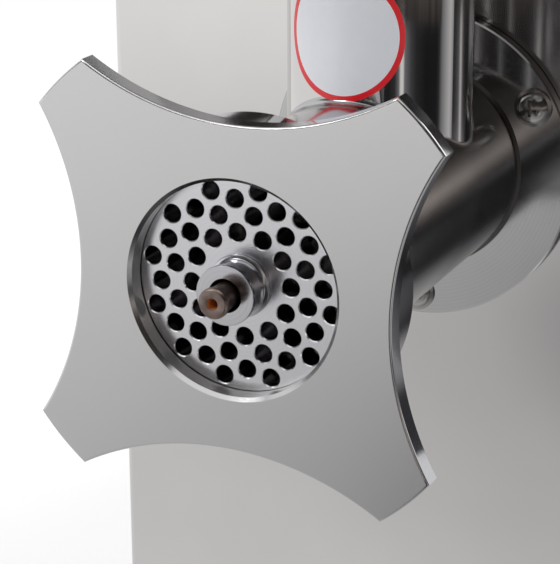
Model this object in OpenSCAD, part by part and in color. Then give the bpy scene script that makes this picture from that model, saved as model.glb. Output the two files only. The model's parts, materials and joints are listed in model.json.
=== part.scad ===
// Electric meat grinder: a sheet-steel cabinet with a geared motor inside, and a
// stainless grinding head on its front. Sizes in millimetres. +Z is up and the
// front, where the minced meat comes out, faces -Y.
// Every module draws its piece in the head frame: the auger's axis is the Y axis and
// y = 0 is the front face of the grinding plate. place() moves it to the row frame.

/* [Cabinet] */
// Width of the cabinet
cabinet_w = 224; // [216:1:290]
// Depth of the cabinet, front face to back face
cabinet_d = 240; // [236:1:320]
// Height of the cabinet without its feet
cabinet_h = 300; // [286:1:360]
// Thickness of the cabinet's sheet steel
sheet_t = 1.5; // [1:0.1:2.5]
// Height of the auger's axis above the cabinet's underside
axis_h = 178; // [165:1:210]
// Outer radius of the front sheet's folded edges
edge_r = 2.5; // [2.5:0.1:6]
// How far the front sheet is folded back along each side
fold_l = 14; // [8:1:16]
// Diameter of a rubber foot
foot_d = 32; // [24:1:40]
// Height of a rubber foot
foot_h = 18; // [12:1:30]
// Distance of a foot's centre from the cabinet's side and ends
foot_inset = 28; // [24:1:40]

/* [Grinding plate] */
// Diameter of the grinding plate
plate_d = 69.8; // [68:0.1:71]
// Thickness of the grinding plate
plate_t = 8; // [6:0.5:9]
// Diameter of a mincing hole
hole_d = 5; // [3:0.1:5.4]
// Radius of the first circle of holes
hole_r1 = 14.3; // [13.5:0.1:14.8]
// Radius of the second circle of holes
hole_r2 = 19.5; // [19.2:0.1:19.8]
// Radius of the third circle of holes
hole_r3 = 23.5; // [23.2:0.1:23.8]
// Radius of the fourth circle of holes
hole_r4 = 26.4; // [26.2:0.1:27]
// Holes on each circle
holes_each = 12; // [8:1:12]
// Turn of the hole pattern about the axis
plate_turn = 3.7; // [0:0.1:30]

/* [Plate bush] */
// Diameter of the bush's two rims
bush_d = 16.4; // [15:0.1:17]
// Diameter of the bush's neck between its rims
bush_neck_d = 15; // [12:0.1:15.2]
// Diameter of the bush's shank inside the plate
bush_shank_d = 12; // [11:0.1:13]
// How far the bush stands out of the plate
bush_h = 10.1; // [6:0.1:12]
// Thickness of the bush's front rim
bush_rim_t = 1.6; // [1:0.1:2.5]
// Thickness of the rim that sits on the plate
bush_base_t = 0.8; // [0.5:0.1:1.5]

/* [Auger] */
// Diameter of the stud in the auger's nose
stud_d = 7.6; // [6:0.1:9]
// How far the stud stands out of the bush
stud_out = 7.6; // [5:0.1:12]
// Diameter of the centre hole in the stud's end
centre_hole_d = 2.7; // [1.5:0.1:4]
// Square that drives the cutter, across flats
square_w = 11; // [10.9:0.1:12]
// Diameter of the auger's core
core_d = 26; // [22:0.5:32]
// Diameter over the auger's flight
flight_d = 57.6; // [50:0.1:58]
// Pitch of the auger's flight
flight_pitch = 36; // [25:1:45]
// Thickness of the flight
flight_t = 5; // [3:0.5:8]
// Square of the auger's tail, across flats
tail_w = 14; // [12:0.5:15]
// Thickness of the cutter
cutter_t = 9; // [7:0.5:12]
// Diameter across the cutter's blades
cutter_d = 58; // [50:0.5:58.6]

/* [Ring nut] */
// Radius to the corners of the ring nut's horns
horn_r = 72.1; // [68:0.1:78]
// Radius of the hollows between the horns
hollow_r = 84.2; // [80:0.1:90]
// Radius to the middle of a hollow
waist_r = 44.8; // [44.5:0.1:50]
// Thickness of the horned plate, which is also the lip's depth
lip_t = 6.3; // [4:0.1:10]
// Diameter of the opening in front of the grinding plate
opening_d = 61; // [59:0.1:63]
// Outer diameter of the threaded collar
collar_d = 88.6; // [88:0.1:89]
// How far the collar reaches back over the barrel
collar_l = 11.5; // [9:0.1:16]
// Turn of the tightened ring about the axis
ring_turn = -1.8; // [-45:0.1:45]

/* [Barrel] */
// Outer diameter of the barrel
barrel_d = 66.2; // [65:0.1:70]
// Bore of the barrel
bore_d = 60; // [59.4:0.1:61]
// Outer diameter of the threaded mouth
mouth_d = 82; // [79:0.1:82.2]
// Distance from the plate's face to the front of the mounting flange
barrel_l = 137.4; // [136:0.1:150]
// Diameter of the mounting flange
flange_d = 100.8; // [98:0.1:106]
// Thickness of the mounting flange
flange_t = 4.5; // [3:0.1:8]
// Radius of the circle that the flange screws lie on
screw_circle_r = 43.3; // [42:0.1:44.5]
// Diameter of a flange screw's shank
screw_d = 6; // [5:0.5:6]
// Diameter of a flange screw's head
screw_head_d = 10; // [8:0.5:10]
// Diameter of the washer face under the screw's head
screw_washer_d = 12; // [10:0.5:12]

/* [Feed] */
// Outer diameter of the feed throat
throat_d = 56; // [54:0.1:58]
// Wall of the feed throat
throat_wall = 1.6; // [1.2:0.1:3]
// Height of the throat's rim above the auger's axis
throat_h = 140; // [132:1:170]
// Distance from the mounting flange forward to the throat's axis
throat_back = 35.7; // [33.4:0.1:39]
// Width of the feed tray, side to side
tray_w = 274; // [256:1:320]
// Depth of the feed tray, front to back
tray_l = 204; // [160:1:240]
// Height of the tray's walls
tray_h = 42; // [25:1:60]
// Diameter of the pusher's rod
pusher_d = 45; // [38:0.5:46]
// Diameter of the pusher's knob
knob_d = 46; // [40:1:56]
// Diameter of the round label on the throat
label_d = 37.4; // [30:0.1:37.6]
// Height of the label's centre above the auger's axis
label_z = 52.7; // [52.5:0.1:80]
// How far the label's middle is to the right of the throat's middle, less than 0 for left
label_x = -0.9; // [-3:0.1:3]

/* [Drive] */
// Module of the final gear pair
final_m = 2; // [2:0.05:2.1]
// Teeth of the output gear
output_z = 42; // [42:1:42]
// Teeth of the intermediate pinion
inter_pinion_z = 16; // [16:1:16]
// Module of the first gear pair
first_m = 1.25; // [1.2:0.05:1.3]
// Teeth of the intermediate gear
inter_gear_z = 42; // [42:1:42]
// Teeth of the motor pinion
motor_pinion_z = 15; // [15:1:15]
// Height of the auger's axis above the motor's axis
motor_drop = 42; // [41:0.5:44]
// Diameter of the motor's stator
stator_d = 132; // [120:1:136]
// Length of the motor's stator
stator_l = 70; // [50:1:74]
// Diameter of the output shaft
output_d = 30; // [30:1:30]

/* [Controls] */
// Height of the control plate's centre above the auger's axis
control_z = 62; // [45:1:70]
// Distance from the cabinet's front to the control plate's centre
control_y = 112; // [100:1:130]
// Diameter of a push button
button_d = 22; // [16:1:24]
// Travel of a push button
button_travel = 3; // [2:0.5:4]

/* [Hidden] */
$fn = 64;

fit = 0.02;      // gap at the radius of a piece fixed in another
run = 0.06;      // gap at the radius of a piece that turns or slides in another
part_gap = 0.3;  // gap between other pieces that move against each other
bolt_gap = 0.3;  // gap round a screw in its clearance hole
mouth_y = 1;     // the mouth ends this far behind the plate's face, so that the ring grips the plate
mouth_l = 10;    // back of the threaded mouth
taper_l = 3;     // length of the cone behind the threaded mouth
gasket_t = 0.5;  // flange gasket
key_r = 2;       // radius of the plate's key pin
lip_c = 0.5;     // bevel along the ring nut's edges

flange_y = barrel_l;                         // front of the flange
throat_y = flange_y - throat_back;           // axis of the feed throat
gasket_y = flange_y + flange_t;
cab_y0 = gasket_y + gasket_t;                // front face of the cabinet
cab_y1 = cab_y0 + cabinet_d;                 // back face of the cabinet
cab_z0 = -axis_h;                            // underside of the cabinet
cab_z1 = cab_z0 + cabinet_h;                 // top of the cabinet
stud_y0 = -bush_h - stud_out;                // tip of the stud
cutter_y0 = plate_t + part_gap;
nose_y = cutter_y0 + cutter_t + 0.1;         // shoulder behind the cutter
tail_y = barrel_l - 5;                       // back of the auger's core
washer_t = 3;
shaft_y = tail_y + 0.2;                      // front end of the output shaft
spigot_y = tail_y + washer_t + 2 * part_gap; // front of the gearbox's spigot
case_y = cab_y0 + sheet_t;                   // front face of the gearbox
seal_t = 7;
front_bearing_y = case_y + 4;
front_bearing_t = 16;
final_y = front_bearing_y + front_bearing_t + 4;   // front of the output gear
final_t = 20;
first_y = final_y + final_t + 4;             // front of the first gear pair
first_t = 12;
rear_bearing_y = final_y + final_t + 2;
rear_bearing_t = 14;
cover_y = first_y + first_t + 6;             // joint of the gearbox's case and cover
cover_t = 8;
bell_y = cover_y + cover_t + fit;            // front of the motor
bell_l = 24;
stator_y = bell_y + bell_l;
stator_y1 = stator_y + stator_l;
bell_depth = 22;
rear_bell_y1 = stator_y1 + bell_depth;
fan_gap = 4;
fan_y = rear_bell_y1 + fan_gap;
fan_t = 14;
tail_l = 24;                                 // length of the square tail
tray_z = throat_h + part_gap;                // underside of the tray
tray_t = 1.2;
collar_depth = 20;
stop_z = tray_z + tray_t + part_gap;         // underside of the pusher's stop
stop_t = 4;
knob_z = stop_z + 58;                        // centre of the pusher's knob

// Gear centres, in the front view
final_a = final_m * (output_z + inter_pinion_z) / 2;
first_a = first_m * (inter_gear_z + motor_pinion_z) / 2;
inter_z = (pow(first_a, 2) - pow(final_a, 2) - pow(motor_drop, 2)) / (2 * motor_drop);
inter_x = sqrt(pow(final_a, 2) - pow(inter_z, 2));
inter_c = [inter_x, inter_z];
motor_c = [0, -motor_drop];

// The row's origin is under the middle of the whole object's length
inlet_out = 2.5;
y_mid = (stud_y0 + cab_y1 + inlet_out) / 2;
module place() translate([0, -y_mid, axis_h + foot_h]) children();

// Extrudes a front-view outline from y0 to y1
module bar(y0, y1) translate([0, y1, 0]) rotate([90, 0, 0]) linear_extrude(height = y1 - y0) children();
// A round bar from y0 to y1, centred at c in the front view
module rod(y0, y1, r, c = [0, 0])
  translate([c[0], y1, c[1]]) rotate([90, 0, 0]) cylinder(r = r, h = y1 - y0);
// A ring from y0 to y1
module ring(y0, y1, ro, ri, c = [0, 0])
  difference() {
    rod(y0, y1, ro, c);
    rod(y0 - 1, y1 + 1, ri, c);
  }
// Turns a profile of [radius, y] points about the axis
module lathe(points, c = [0, 0])
  translate([c[0], 0, c[1]]) rotate([90, 0, 0]) rotate_extrude() polygon([for (p = points) [p[0], -p[1]]]);
// A point at radius r and angle a in the front view
function polar(r, a) = [r * cos(a), r * sin(a)];
// Repeats its children n times around the axis
module around(n, a0 = 0) for (i = [0:n - 1]) rotate([0, -(a0 + 360 * i / n), 0]) children();

// Involute gear outline: module m, z teeth, first tooth at angle a0, backlash b
pressure = 20;
function inv_deg(r, rb) = sqrt(max(0, pow(r / rb, 2) - 1)) * 180 / PI - acos(min(1, rb / r));
function flank(r, m, z, b) = let (rp = m * z / 2, rb = rp * cos(pressure))
  90 / z - b / (2 * rp) * 180 / PI + inv_deg(rp, rb) - inv_deg(max(r, rb), rb);
module gear_outline(m, z, a0, b = 0.16) {
  rp = m * z / 2;
  rf = rp - 1.25 * m;
  rs = max(rf + 0.05, rp * cos(pressure) + 0.01);
  ra = rp + 0.95 * m;
  steps = [for (k = [0:3]) rs + (ra - rs) * k / 3];
  side = concat([[rf, flank(rs, m, z, b)]], [for (r = steps) [r, flank(r, m, z, b)]]);
  polygon([for (i = [0:z - 1]) let (a = a0 + 360 * i / z) each concat(
    [for (q = side) polar(q[0], a - q[1])], [for (k = [4:-1:0]) polar(side[k][0], a + side[k][1])])]);
}
function toward(p, q) = atan2(q[1] - p[1], q[0] - p[0]);

// ---- Grinding head ----

lip_gap = 0.05;
// Cuts a round opening through the horned plate and bevels its front edge
module bevelled_cutter(r, c)
  lathe([[0, -lip_t - 1], [r + lip_c + 1, -lip_t - 1], [r, -lip_t + lip_c], [r, 1], [0, 1]], c);

// Horned ring nut, whose lip holds the grinding plate against the barrel's mouth
module ring_nut() color("silver") {
  difference() {
    union() {
      difference() {
        lathe([[0, -lip_t], [horn_r - lip_c, -lip_t], [horn_r, -lip_t + lip_c], [horn_r, -lip_c],
          [horn_r - lip_c, -lip_gap], [0, -lip_gap]]);
        for (a = [0:90:270]) bevelled_cutter(hollow_r, polar(waist_r + hollow_r, a + ring_turn));
      }
      lathe([[0, -1], [collar_d / 2, -1], [collar_d / 2, collar_l - lip_c],
        [collar_d / 2 - lip_c, collar_l], [0, collar_l]]);
    }
    bevelled_cutter(opening_d / 2, [0, 0]);
    rod(-lip_gap, collar_l + 1, mouth_d / 2 + part_gap);
  }
}

// One mincing hole, with its front edge broken
module mince_hole(c) {
  r = hole_d / 2;
  lathe([[0, -1], [r + 1.25, -1], [r, 0.25], [r, plate_t + 1], [0, plate_t + 1]], c);
}

// Perforated plate, keyed so that it can't turn
module grinding_plate() color("gainsboro") difference() {
  rod(0, plate_t, plate_d / 2);
  for (k = [0:3]) {
    r = [hole_r1, hole_r2, hole_r3, hole_r4][k];
    for (i = [0:holes_each - 1])
      mince_hole(polar(r, plate_turn + (i + (k % 2) / 2) * 360 / holes_each));
  }
  rod(-1, plate_t + 1, bush_shank_d / 2 + fit);
  bar(-1, plate_t + 1) translate([0, -plate_d / 2])
    square([2 * (key_r + part_gap), 2 * (key_r + part_gap)], center = true);
}

// Bush pressed into the plate, where the auger's stud runs
module plate_bush() color("silver") lathe([
  [stud_d / 2 + run, -bush_h], [bush_d / 2 - 0.3, -bush_h], [bush_d / 2, -bush_h + 0.3],
  [bush_d / 2, -bush_h + bush_rim_t], [bush_neck_d / 2, -bush_h + bush_rim_t + 0.3],
  [bush_neck_d / 2, -bush_base_t - 0.2], [bush_d / 2, -bush_base_t], [bush_d / 2, -fit],
  [bush_shank_d / 2, -fit], [bush_shank_d / 2, plate_t - 0.2], [stud_d / 2 + run, plate_t - 0.2]]);

// Pin in the barrel's seat that stops the plate from turning
module plate_key_pin() color("dimgray") rod(mouth_y + 1, plate_t + 4, key_r, [0, -plate_d / 2]);

// Four-bladed cutter on the auger's square
cutter_hub_r = 12.5;
module cutter_knife() color("darkgray") bar(cutter_y0, cutter_y0 + cutter_t) difference() {
  union() {
    circle(cutter_hub_r);
    for (a = [20:90:290]) rotate(a)
      polygon([[0, -5], [cutter_d / 2 - 2, -1.5], [cutter_d / 2 - 0.6, 2.5], [20, 5.5], [0, 6.5]]);
  }
  square(square_w + 2 * fit, center = true);
}

// Auger core with its cutter square, journal and square tail
module auger_shaft() color("silver") difference() {
  union() {
    bar(cutter_y0, nose_y) square(square_w, center = true);
    lathe([[0, nose_y], [core_d / 2 - 2, nose_y], [core_d / 2, nose_y + 2], [core_d / 2, tail_y - 8],
      [core_d / 2 + 5, tail_y - 5], [core_d / 2 + 5, tail_y], [0, tail_y]]);
    bar(tail_y - 1, tail_y + tail_l) square(tail_w, center = true);
  }
  rod(cutter_y0 - 1, nose_y + 12, stud_d / 2 + fit);
}

// Screw flight around the auger's core
flight_steps = 30;  // facets in one turn
flight_y0 = nose_y + 3;
flight_y1 = tail_y - 14;
flight_turns = (flight_y1 - flight_y0 - flight_t) / flight_pitch;
flight_n = ceil(flight_turns * flight_steps);
function flight_ring(i) = let (a = 360 * flight_turns * i / flight_n,
  y = flight_y0 + flight_pitch * flight_turns * i / flight_n,
  ri = (core_d / 2 + fit) / cos(180 / flight_steps), ro = flight_d / 2)
  [for (q = [[ri, 0], [ri, flight_t], [ro, flight_t * 0.75], [ro, flight_t * 0.25]])
    [q[0] * cos(a), y + q[1], q[0] * sin(a)]];
module auger_flight() color("silver") polyhedron(
  points = [for (i = [0:flight_n]) each flight_ring(i)],
  faces = concat([[0, 1, 2, 3]],
    [for (i = [0:flight_n - 1]) for (k = [0:3]) let (p = 4 * i + k, q = 4 * i + (k + 1) % 4)
      each [[p, p + 4, q + 4], [p, q + 4, q]]],
    [[4 * flight_n + 3, 4 * flight_n + 2, 4 * flight_n + 1, 4 * flight_n]]));

// Stud screwed into the auger's nose, with a centre hole in its tip
module auger_stud() color("dimgray") lathe([
  [centre_hole_d / 2, stud_y0], [stud_d / 2 - 0.5, stud_y0], [stud_d / 2, stud_y0 + 0.5],
  [stud_d / 2, stud_y0 + 1.8], [stud_d / 2 - 0.3, stud_y0 + 2], [stud_d / 2 - 0.3, stud_y0 + 2.4],
  [stud_d / 2, stud_y0 + 2.6], [stud_d / 2, nose_y + 11], [0, nose_y + 11], [0, stud_y0 + 7],
  [centre_hole_d / 2, stud_y0 + 5.5]]);

// Plastic washer that takes the auger's thrust
module thrust_washer() color("ivory")
  ring(tail_y + part_gap, tail_y + part_gap + washer_t, bore_d / 2 - fit, output_d / 2 + part_gap);

// Barrel with its threaded mouth, plate seat and feed opening
module barrel() color("silver") difference() {
  lathe([[bore_d / 2, gasket_y], [barrel_d / 2, gasket_y], [barrel_d / 2, mouth_l + taper_l],
    [mouth_d / 2, mouth_l], [mouth_d / 2, mouth_y], [plate_d / 2 + run, mouth_y],
    [plate_d / 2 + run, plate_t + lip_gap], [bore_d / 2, plate_t + lip_gap]]);
  translate([0, throat_y, 0]) cylinder(d = throat_d - 2 * throat_wall, h = barrel_d);
  rod(mouth_y - 1, plate_t + 4 + fit, key_r + fit, [0, -plate_d / 2]);
}

// Where the three flange screws go, and a hole for each
flange_screw_as = [30, 150, 270];
module screw_holes(y0, y1, r) for (a = flange_screw_as) rod(y0, y1, r, polar(screw_circle_r, a));

// Flange welded round the barrel's back end
module mounting_flange() color("silver") difference() {
  lathe([[barrel_d / 2 + fit, flange_y - 0.8], [barrel_d / 2 + 1, flange_y], [flange_d / 2 - 0.5, flange_y],
    [flange_d / 2, flange_y + 0.5], [flange_d / 2, gasket_y - fit], [barrel_d / 2 + fit, gasket_y - fit]]);
  screw_holes(flange_y - 1, gasket_y + 1, screw_d / 2 + bolt_gap);
}

// Three domed screws with washer faces, which hold the head on the gearbox
screw_l = 15;
screw_head_h = 4.4;
screw_washer_t = 0.7;
module flange_screws() color("silver") for (a = flange_screw_as) {
  c = polar(screw_circle_r, a);
  y = flange_y - fit;
  r = screw_head_d / 2;
  dome = screw_head_h - screw_washer_t;
  w = y - screw_washer_t;
  difference() {
    lathe([[0, w - dome], [r * 0.35, w - dome * 0.9595], [r * 0.68, w - dome * 0.7838],
      [r * 0.9, w - dome * 0.4865], [r, w - dome * 0.1351], [r, w - dome * 0.0541], [screw_washer_d / 2, w],
      [screw_washer_d / 2, y], [screw_d / 2, y], [screw_d / 2, y + screw_l], [0, y + screw_l]], c);
    cross_slot(c, w - dome, screw_cross_l, screw_cross_w, screw_cross_d);
  }
}
screw_cross_l = 4.4;
screw_cross_w = 1;
screw_cross_d = 1.4;
// Cross recess w wide and l long, cut d deep from the face at y
module cross_slot(c, y, l, w, d) for (q = [[l, w], [w, l]])
  translate([c[0] - q[0] / 2, y - 1, c[1] - q[1] / 2]) cube([q[0], d + 1, q[1]]);

// Seal between the flange and the cabinet
module flange_gasket() color("dimgray") difference() {
  ring(gasket_y, cab_y0 - fit, flange_d / 2 - 0.5, bore_d / 2 + fit);
  screw_holes(gasket_y - 1, cab_y0 + 1, screw_d / 2 + bolt_gap);
}

// Upright feed throat, welded over the barrel's feed opening
module feed_throat() color("silver") difference() {
  translate([0, throat_y, 0]) cylinder(d = throat_d, h = throat_h);
  translate([0, throat_y, -1]) cylinder(d = throat_d - 2 * throat_wall, h = throat_h + 2);
  rod(throat_y - throat_d, flange_y, barrel_d / 2 + fit);
}

// Blank round label on the front of the throat
label_t = 0.3;
module throat_label() color("white") intersection() {
  difference() {
    translate([0, throat_y, label_z - label_d]) cylinder(r = throat_d / 2 + label_t, h = 2 * label_d);
    translate([0, throat_y, label_z - label_d - 1]) cylinder(r = throat_d / 2 + fit, h = 2 * label_d + 2);
  }
  rod(throat_y - throat_d, throat_y - 4, label_d / 2, [label_x, label_z]);
}

// ---- Feed tray and pusher ----

tray_r = 16;         // corner radius of the tray's rim
tray_rim = 6;        // width of the rim round the tray
// Upright block with rounded corners, centred on the throat: w wide, l long, from z0 to z1
module tray_block(w, l, r, z0, z1) translate([0, throat_y, z0]) linear_extrude(height = z1 - z0) {
  square([w - 2 * r, l], center = true);
  square([w, l - 2 * r], center = true);
  for (sx = [-1, 1]) for (sy = [-1, 1]) translate([sx * (w / 2 - r), sy * (l / 2 - r)]) circle(r);
}
// Pan with a rim, and a round hole over the throat
drop_r = throat_d / 2 - throat_wall - 2;
module feed_tray() color("silver") difference() {
  pan_w = tray_w - 2 * tray_rim;
  pan_l = tray_l - 2 * tray_rim;
  union() {
    tray_block(pan_w, pan_l, tray_r - tray_rim, tray_z, tray_z + tray_h);
    tray_block(tray_w, tray_l, tray_r, tray_z + tray_h - tray_t, tray_z + tray_h);
  }
  tray_block(pan_w - 2 * tray_t, pan_l - 2 * tray_t, tray_r - tray_rim - tray_t, tray_z + tray_t,
    tray_z + tray_h + 1);
  translate([0, throat_y, tray_z - 1]) cylinder(r = drop_r, h = 10);
}

// Collar under the pan that drops into the throat
module tray_collar() color("silver") translate([0, throat_y, tray_z - collar_depth]) difference() {
  cylinder(r = throat_d / 2 - throat_wall - part_gap, h = collar_depth - fit);
  translate([0, 0, -1]) cylinder(r = drop_r, h = collar_depth + 2);
}

// Plastic rod that pushes the meat down the throat; its stop keeps it off the auger
rod_z0 = 58;         // foot of the rod above the auger's axis
neck_r = 12;
neck_flare = 4;      // cone where the neck meets the stop disc
foot_cut = 3;        // chamfer around the rod's foot
stop_r = 36;         // stop disc that rests on the collar
knob_sink = 14;      // how far the neck ends below the knob's middle
module pusher_rod() color("whitesmoke") translate([0, throat_y, 0]) rotate_extrude() polygon([
  [0, rod_z0], [pusher_d / 2 - foot_cut, rod_z0], [pusher_d / 2, rod_z0 + foot_cut],
  [pusher_d / 2, stop_z], [stop_r, stop_z], [stop_r, stop_z + stop_t],
  [neck_r + neck_flare, stop_z + stop_t], [neck_r, stop_z + stop_t + neck_flare],
  [neck_r, knob_z - knob_sink], [0, knob_z - knob_sink]]);

// Knob on top of the pusher's rod
module pusher_knob() color("whitesmoke") translate([0, throat_y, knob_z]) difference() {
  sphere(d = knob_d);
  translate([0, 0, -knob_d]) cylinder(d = knob_d, h = knob_d - 14 + fit);
}

// ---- Cabinet ----

inner_w = cabinet_w - 2 * sheet_t;
screw_zs = [cab_z0 + 30, cab_z0 + cabinet_h / 2, cab_z1 - 30];
// Plan of the front sheet, seen from above: a channel of width w, depth d and corner radius r
module channel(w, d, r) {
  translate([-w / 2 + r, 0]) square([w - 2 * r, r]);
  translate([-w / 2, r]) square([w, d - r]);
  for (s = [-1, 1]) translate([s * (w / 2 - r), r]) circle(r);
}
// Front sheet, folded back along both sides, with the openings for the head
module front_panel() color("lightgray") difference() {
  translate([0, cab_y0, cab_z0]) linear_extrude(height = cabinet_h) difference() {
    channel(cabinet_w, fold_l, edge_r);
    translate([0, sheet_t]) channel(inner_w, fold_l, edge_r - sheet_t);
  }
  rod(cab_y0 - 1, case_y + 1, bore_d / 2 + 0.5);
  screw_holes(cab_y0 - 1, case_y + 1, screw_d / 2 + bolt_gap);
}

side_y = cab_y0 + fold_l + fit;
side_l = cab_y1 - sheet_t - fit - side_y;
module side_sheet(s) translate([s > 0 ? cabinet_w / 2 - sheet_t : -cabinet_w / 2, side_y, cab_z0])
  cube([sheet_t, side_l, cabinet_h]);
// Left side sheet, with cooling slots low down
module left_panel() color("lightgray") difference() {
  side_sheet(-1);
  cooling_slots(-1);
}

// Right side sheet, with the cut-outs for the controls
control_c = [cab_y0 + control_y, control_z];
start_c = control_c + [-36, 10];
stop_c = control_c + [-4, 10];
rocker_c = control_c + [30, 8];
reset_c = control_c + [-20, -19];
plate_w = 106;
plate_h = 62;
rocker_w = 15;
rocker_h = 25;
reset_d = 8;
module right_panel() color("lightgray") difference() {
  side_sheet(1);
  cooling_slots(1);
  control_holes(cabinet_w / 2 - sheet_t - 1, sheet_t + 2, 1);
}

// Row of upright cooling slots in a side sheet
module cooling_slots(s) for (i = [0:7])
  translate([s * cabinet_w / 2 - 5, cab_y1 - 40 - i * 12, cab_z0 + 40]) cube([10, 4, 70]);

// Openings for the buttons, drawn from x for a length of l, with a gap g round each
module control_holes(x, l, g) {
  for (q = [[start_c, button_d], [stop_c, button_d], [reset_c, reset_d]])
    translate([x, q[0][0], q[0][1]]) rotate([0, 90, 0]) cylinder(d = q[1] + 2 * g, h = l);
  translate([x, rocker_c[0] - rocker_w / 2 - g, rocker_c[1] - rocker_h / 2 - g])
    cube([l, rocker_w + 2 * g, rocker_h + 2 * g]);
}

// Top sheet
deck_w = inner_w - 2 * fit;
deck_y = case_y + edge_r;
deck_l = cab_y1 - sheet_t - fit - deck_y;
module top_panel() color("lightgray") translate([-deck_w / 2, deck_y, cab_z1 - sheet_t])
  cube([deck_w, deck_l, sheet_t]);

inlet_c = [-52, cab_z0 + 60];
inlet_w = 30;
inlet_h = 22;
// Back sheet, with its grille and the inlet's cut-out
module rear_panel() color("lightgray") difference() {
  translate([-cabinet_w / 2, cab_y1 - sheet_t, cab_z0]) cube([cabinet_w, sheet_t, cabinet_h]);
  for (i = [-6:6]) translate([-45, cab_y1 - 5, -motor_drop + i * 10 - 2]) cube([90, 10, 4]);
  translate([inlet_c[0] - inlet_w / 2 - fit, cab_y1 - 5, inlet_c[1] - inlet_h / 2 - fit])
    cube([inlet_w + 2 * fit, 10, inlet_h + 2 * fit]);
  for (c = panel_screw_cs) rod(cab_y1 - 5, cab_y1 + 1, 1.7, c);
}

foot_hole_r = 2.6;
foot_cs = [for (s = [-1, 1]) for (y = [cab_y0 + foot_inset, cab_y1 - foot_inset])
  [s * (cabinet_w / 2 - foot_inset), y]];
base_t = 2;
// Bottom sheet
module base_plate() color("lightgray") difference() {
  translate([-deck_w / 2, deck_y, cab_z0]) cube([deck_w, deck_l, base_t]);
  for (c = foot_cs) translate([c[0], c[1], cab_z0 - 1]) cylinder(r = foot_hole_r, h = base_t + 2);
}

// Small screws round the back sheet
panel_screw_cs = [for (s = [-1, 1]) for (z = screw_zs) [s * (cabinet_w / 2 - 9), z]];
tapper_l = 8;        // length of the screws in the sheet, under their heads
tapper_r = 1.6;
tapper_head_r = 3.4;
tapper_head_h = 2;
tapper_slot = 0.8;
module panel_screws() color("gray") for (c = panel_screw_cs) difference() {
  lathe([[0, cab_y1 - tapper_l], [tapper_r, cab_y1 - tapper_l], [tapper_r, cab_y1 + fit],
    [tapper_head_r, cab_y1 + fit], [tapper_head_r, cab_y1 + tapper_head_h / 2],
    [tapper_head_r - tapper_slot, cab_y1 + tapper_head_h * 0.9], [0, cab_y1 + tapper_head_h]], c);
  cross_slot(c, cab_y1 + tapper_head_h * 1.1, 4 * tapper_slot, tapper_slot, tapper_slot);
}

// Four rubber feet, each with a recess for its screw
module rubber_feet() color("black") for (c = foot_cs) translate([c[0], c[1], cab_z0 - foot_h])
  rotate_extrude() polygon([[foot_d / 2 - 4, 0], [foot_d / 2 - 3, 1], [foot_d / 2, foot_h - fit],
    [foot_hole_r, foot_h - fit], [foot_hole_r, foot_h - 5], [5.5, foot_h - 5], [5.5, 0]]);

// Screws through the feet into the cabinet
module foot_screws() color("gray") for (c = foot_cs) translate([c[0], c[1], cab_z0 - 9]) {
  cylinder(r = 4.6, h = 4 - fit);
  cylinder(r = foot_hole_r - fit, h = 18);
}

// ---- Gearbox ----

case_wall = 5;
gear_room = 3;
seal_r = 23.5;
front_race_r = 31;
rear_race_r = 23.5;
small_race_r = 17.5;
inter_shaft_r = 7.5;
motor_shaft_r = 6;
bolt_r = 2;
out_r = final_m * output_z / 2 + final_m + gear_room;
int_r = first_m * inter_gear_z / 2 + first_m + gear_room;
// Outline round the gears, grown by g
module case_outline(g) polygon([
  [-out_r - g, -out_r * 0.55], [-out_r * 0.55, -out_r - g - 8], [inter_x - int_r * 0.5, inter_z - int_r - g],
  [inter_x + int_r * 0.5, inter_z - int_r - g], [inter_x + int_r + g, inter_z - int_r * 0.4],
  [inter_x + int_r + g, inter_z + int_r * 0.6], [out_r + g, out_r * 0.5], [out_r * 0.5, out_r + g],
  [-out_r * 0.5, out_r + g], [-out_r - g, out_r * 0.5]]);
bolt_cs = [[-out_r - 5, -30], [-out_r - 5, 26], [0, out_r + 5], [out_r + 5, 22],
  [inter_x + 2, inter_z - int_r - 5], [-8, -out_r - 16]];
// A row of rods, one on each bolt's axis
module bolt_rods(y0, y1, r) for (c = bolt_cs) rod(y0, y1, r, c);

// Cast case: front wall with the spigot, seal seat, bearing seats and screw bosses
inter_front_y = case_y + 3;
module gearbox_case() color("darkgray") difference() {
  union() {
    difference() {
      bar(case_y + fit, cover_y) case_outline(case_wall);
      bar(case_y + 8, cover_y + 1) case_outline(0);
    }
    rod(spigot_y, case_y + 1, bore_d / 2 - run);
    rod(case_y + 1, front_bearing_y + front_bearing_t, front_race_r + 5);
    rod(case_y + 1, case_y + 14, small_race_r + 4, inter_c);
    screw_holes(case_y + 1, case_y + 14, 6.6);
    bolt_rods(cover_y - 14, cover_y, 5);
  }
  rod(spigot_y - 1, front_bearing_y + 1, seal_r);
  rod(front_bearing_y, front_bearing_y + front_bearing_t + 1, front_race_r + fit);
  rod(inter_front_y, case_y + 15, small_race_r + fit, inter_c);
  screw_holes(case_y - 1, case_y + 12, screw_d / 2 + fit);
  bolt_rods(cover_y - 11, cover_y + 1, bolt_r + fit);
}

// Back cover with the rear bearing seats and the hole for the motor's shaft
inter_bearing_t = 11;
inter_rear_y = cover_y + 5.5 - inter_bearing_t;
module gearbox_cover() color("darkgray") difference() {
  union() {
    bar(cover_y + fit, cover_y + cover_t) case_outline(case_wall);
    bolt_rods(cover_y + fit, cover_y + cover_t, 5);
    rod(rear_bearing_y, cover_y + 1, rear_race_r + 4);
    rod(first_y + first_t + 1.5, cover_y + 1, small_race_r + 3, inter_c);
  }
  rod(rear_bearing_y - 1, rear_bearing_y + rear_bearing_t, rear_race_r + fit);
  rod(first_y + first_t, cover_y + 5.5, small_race_r + fit, inter_c);
  rod(rear_bearing_y, cover_y + cover_t + 1, motor_shaft_r + 1.5, motor_c);
  bolt_rods(cover_y - 1, cover_y + cover_t + 1, bolt_r + bolt_gap);
}

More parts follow.
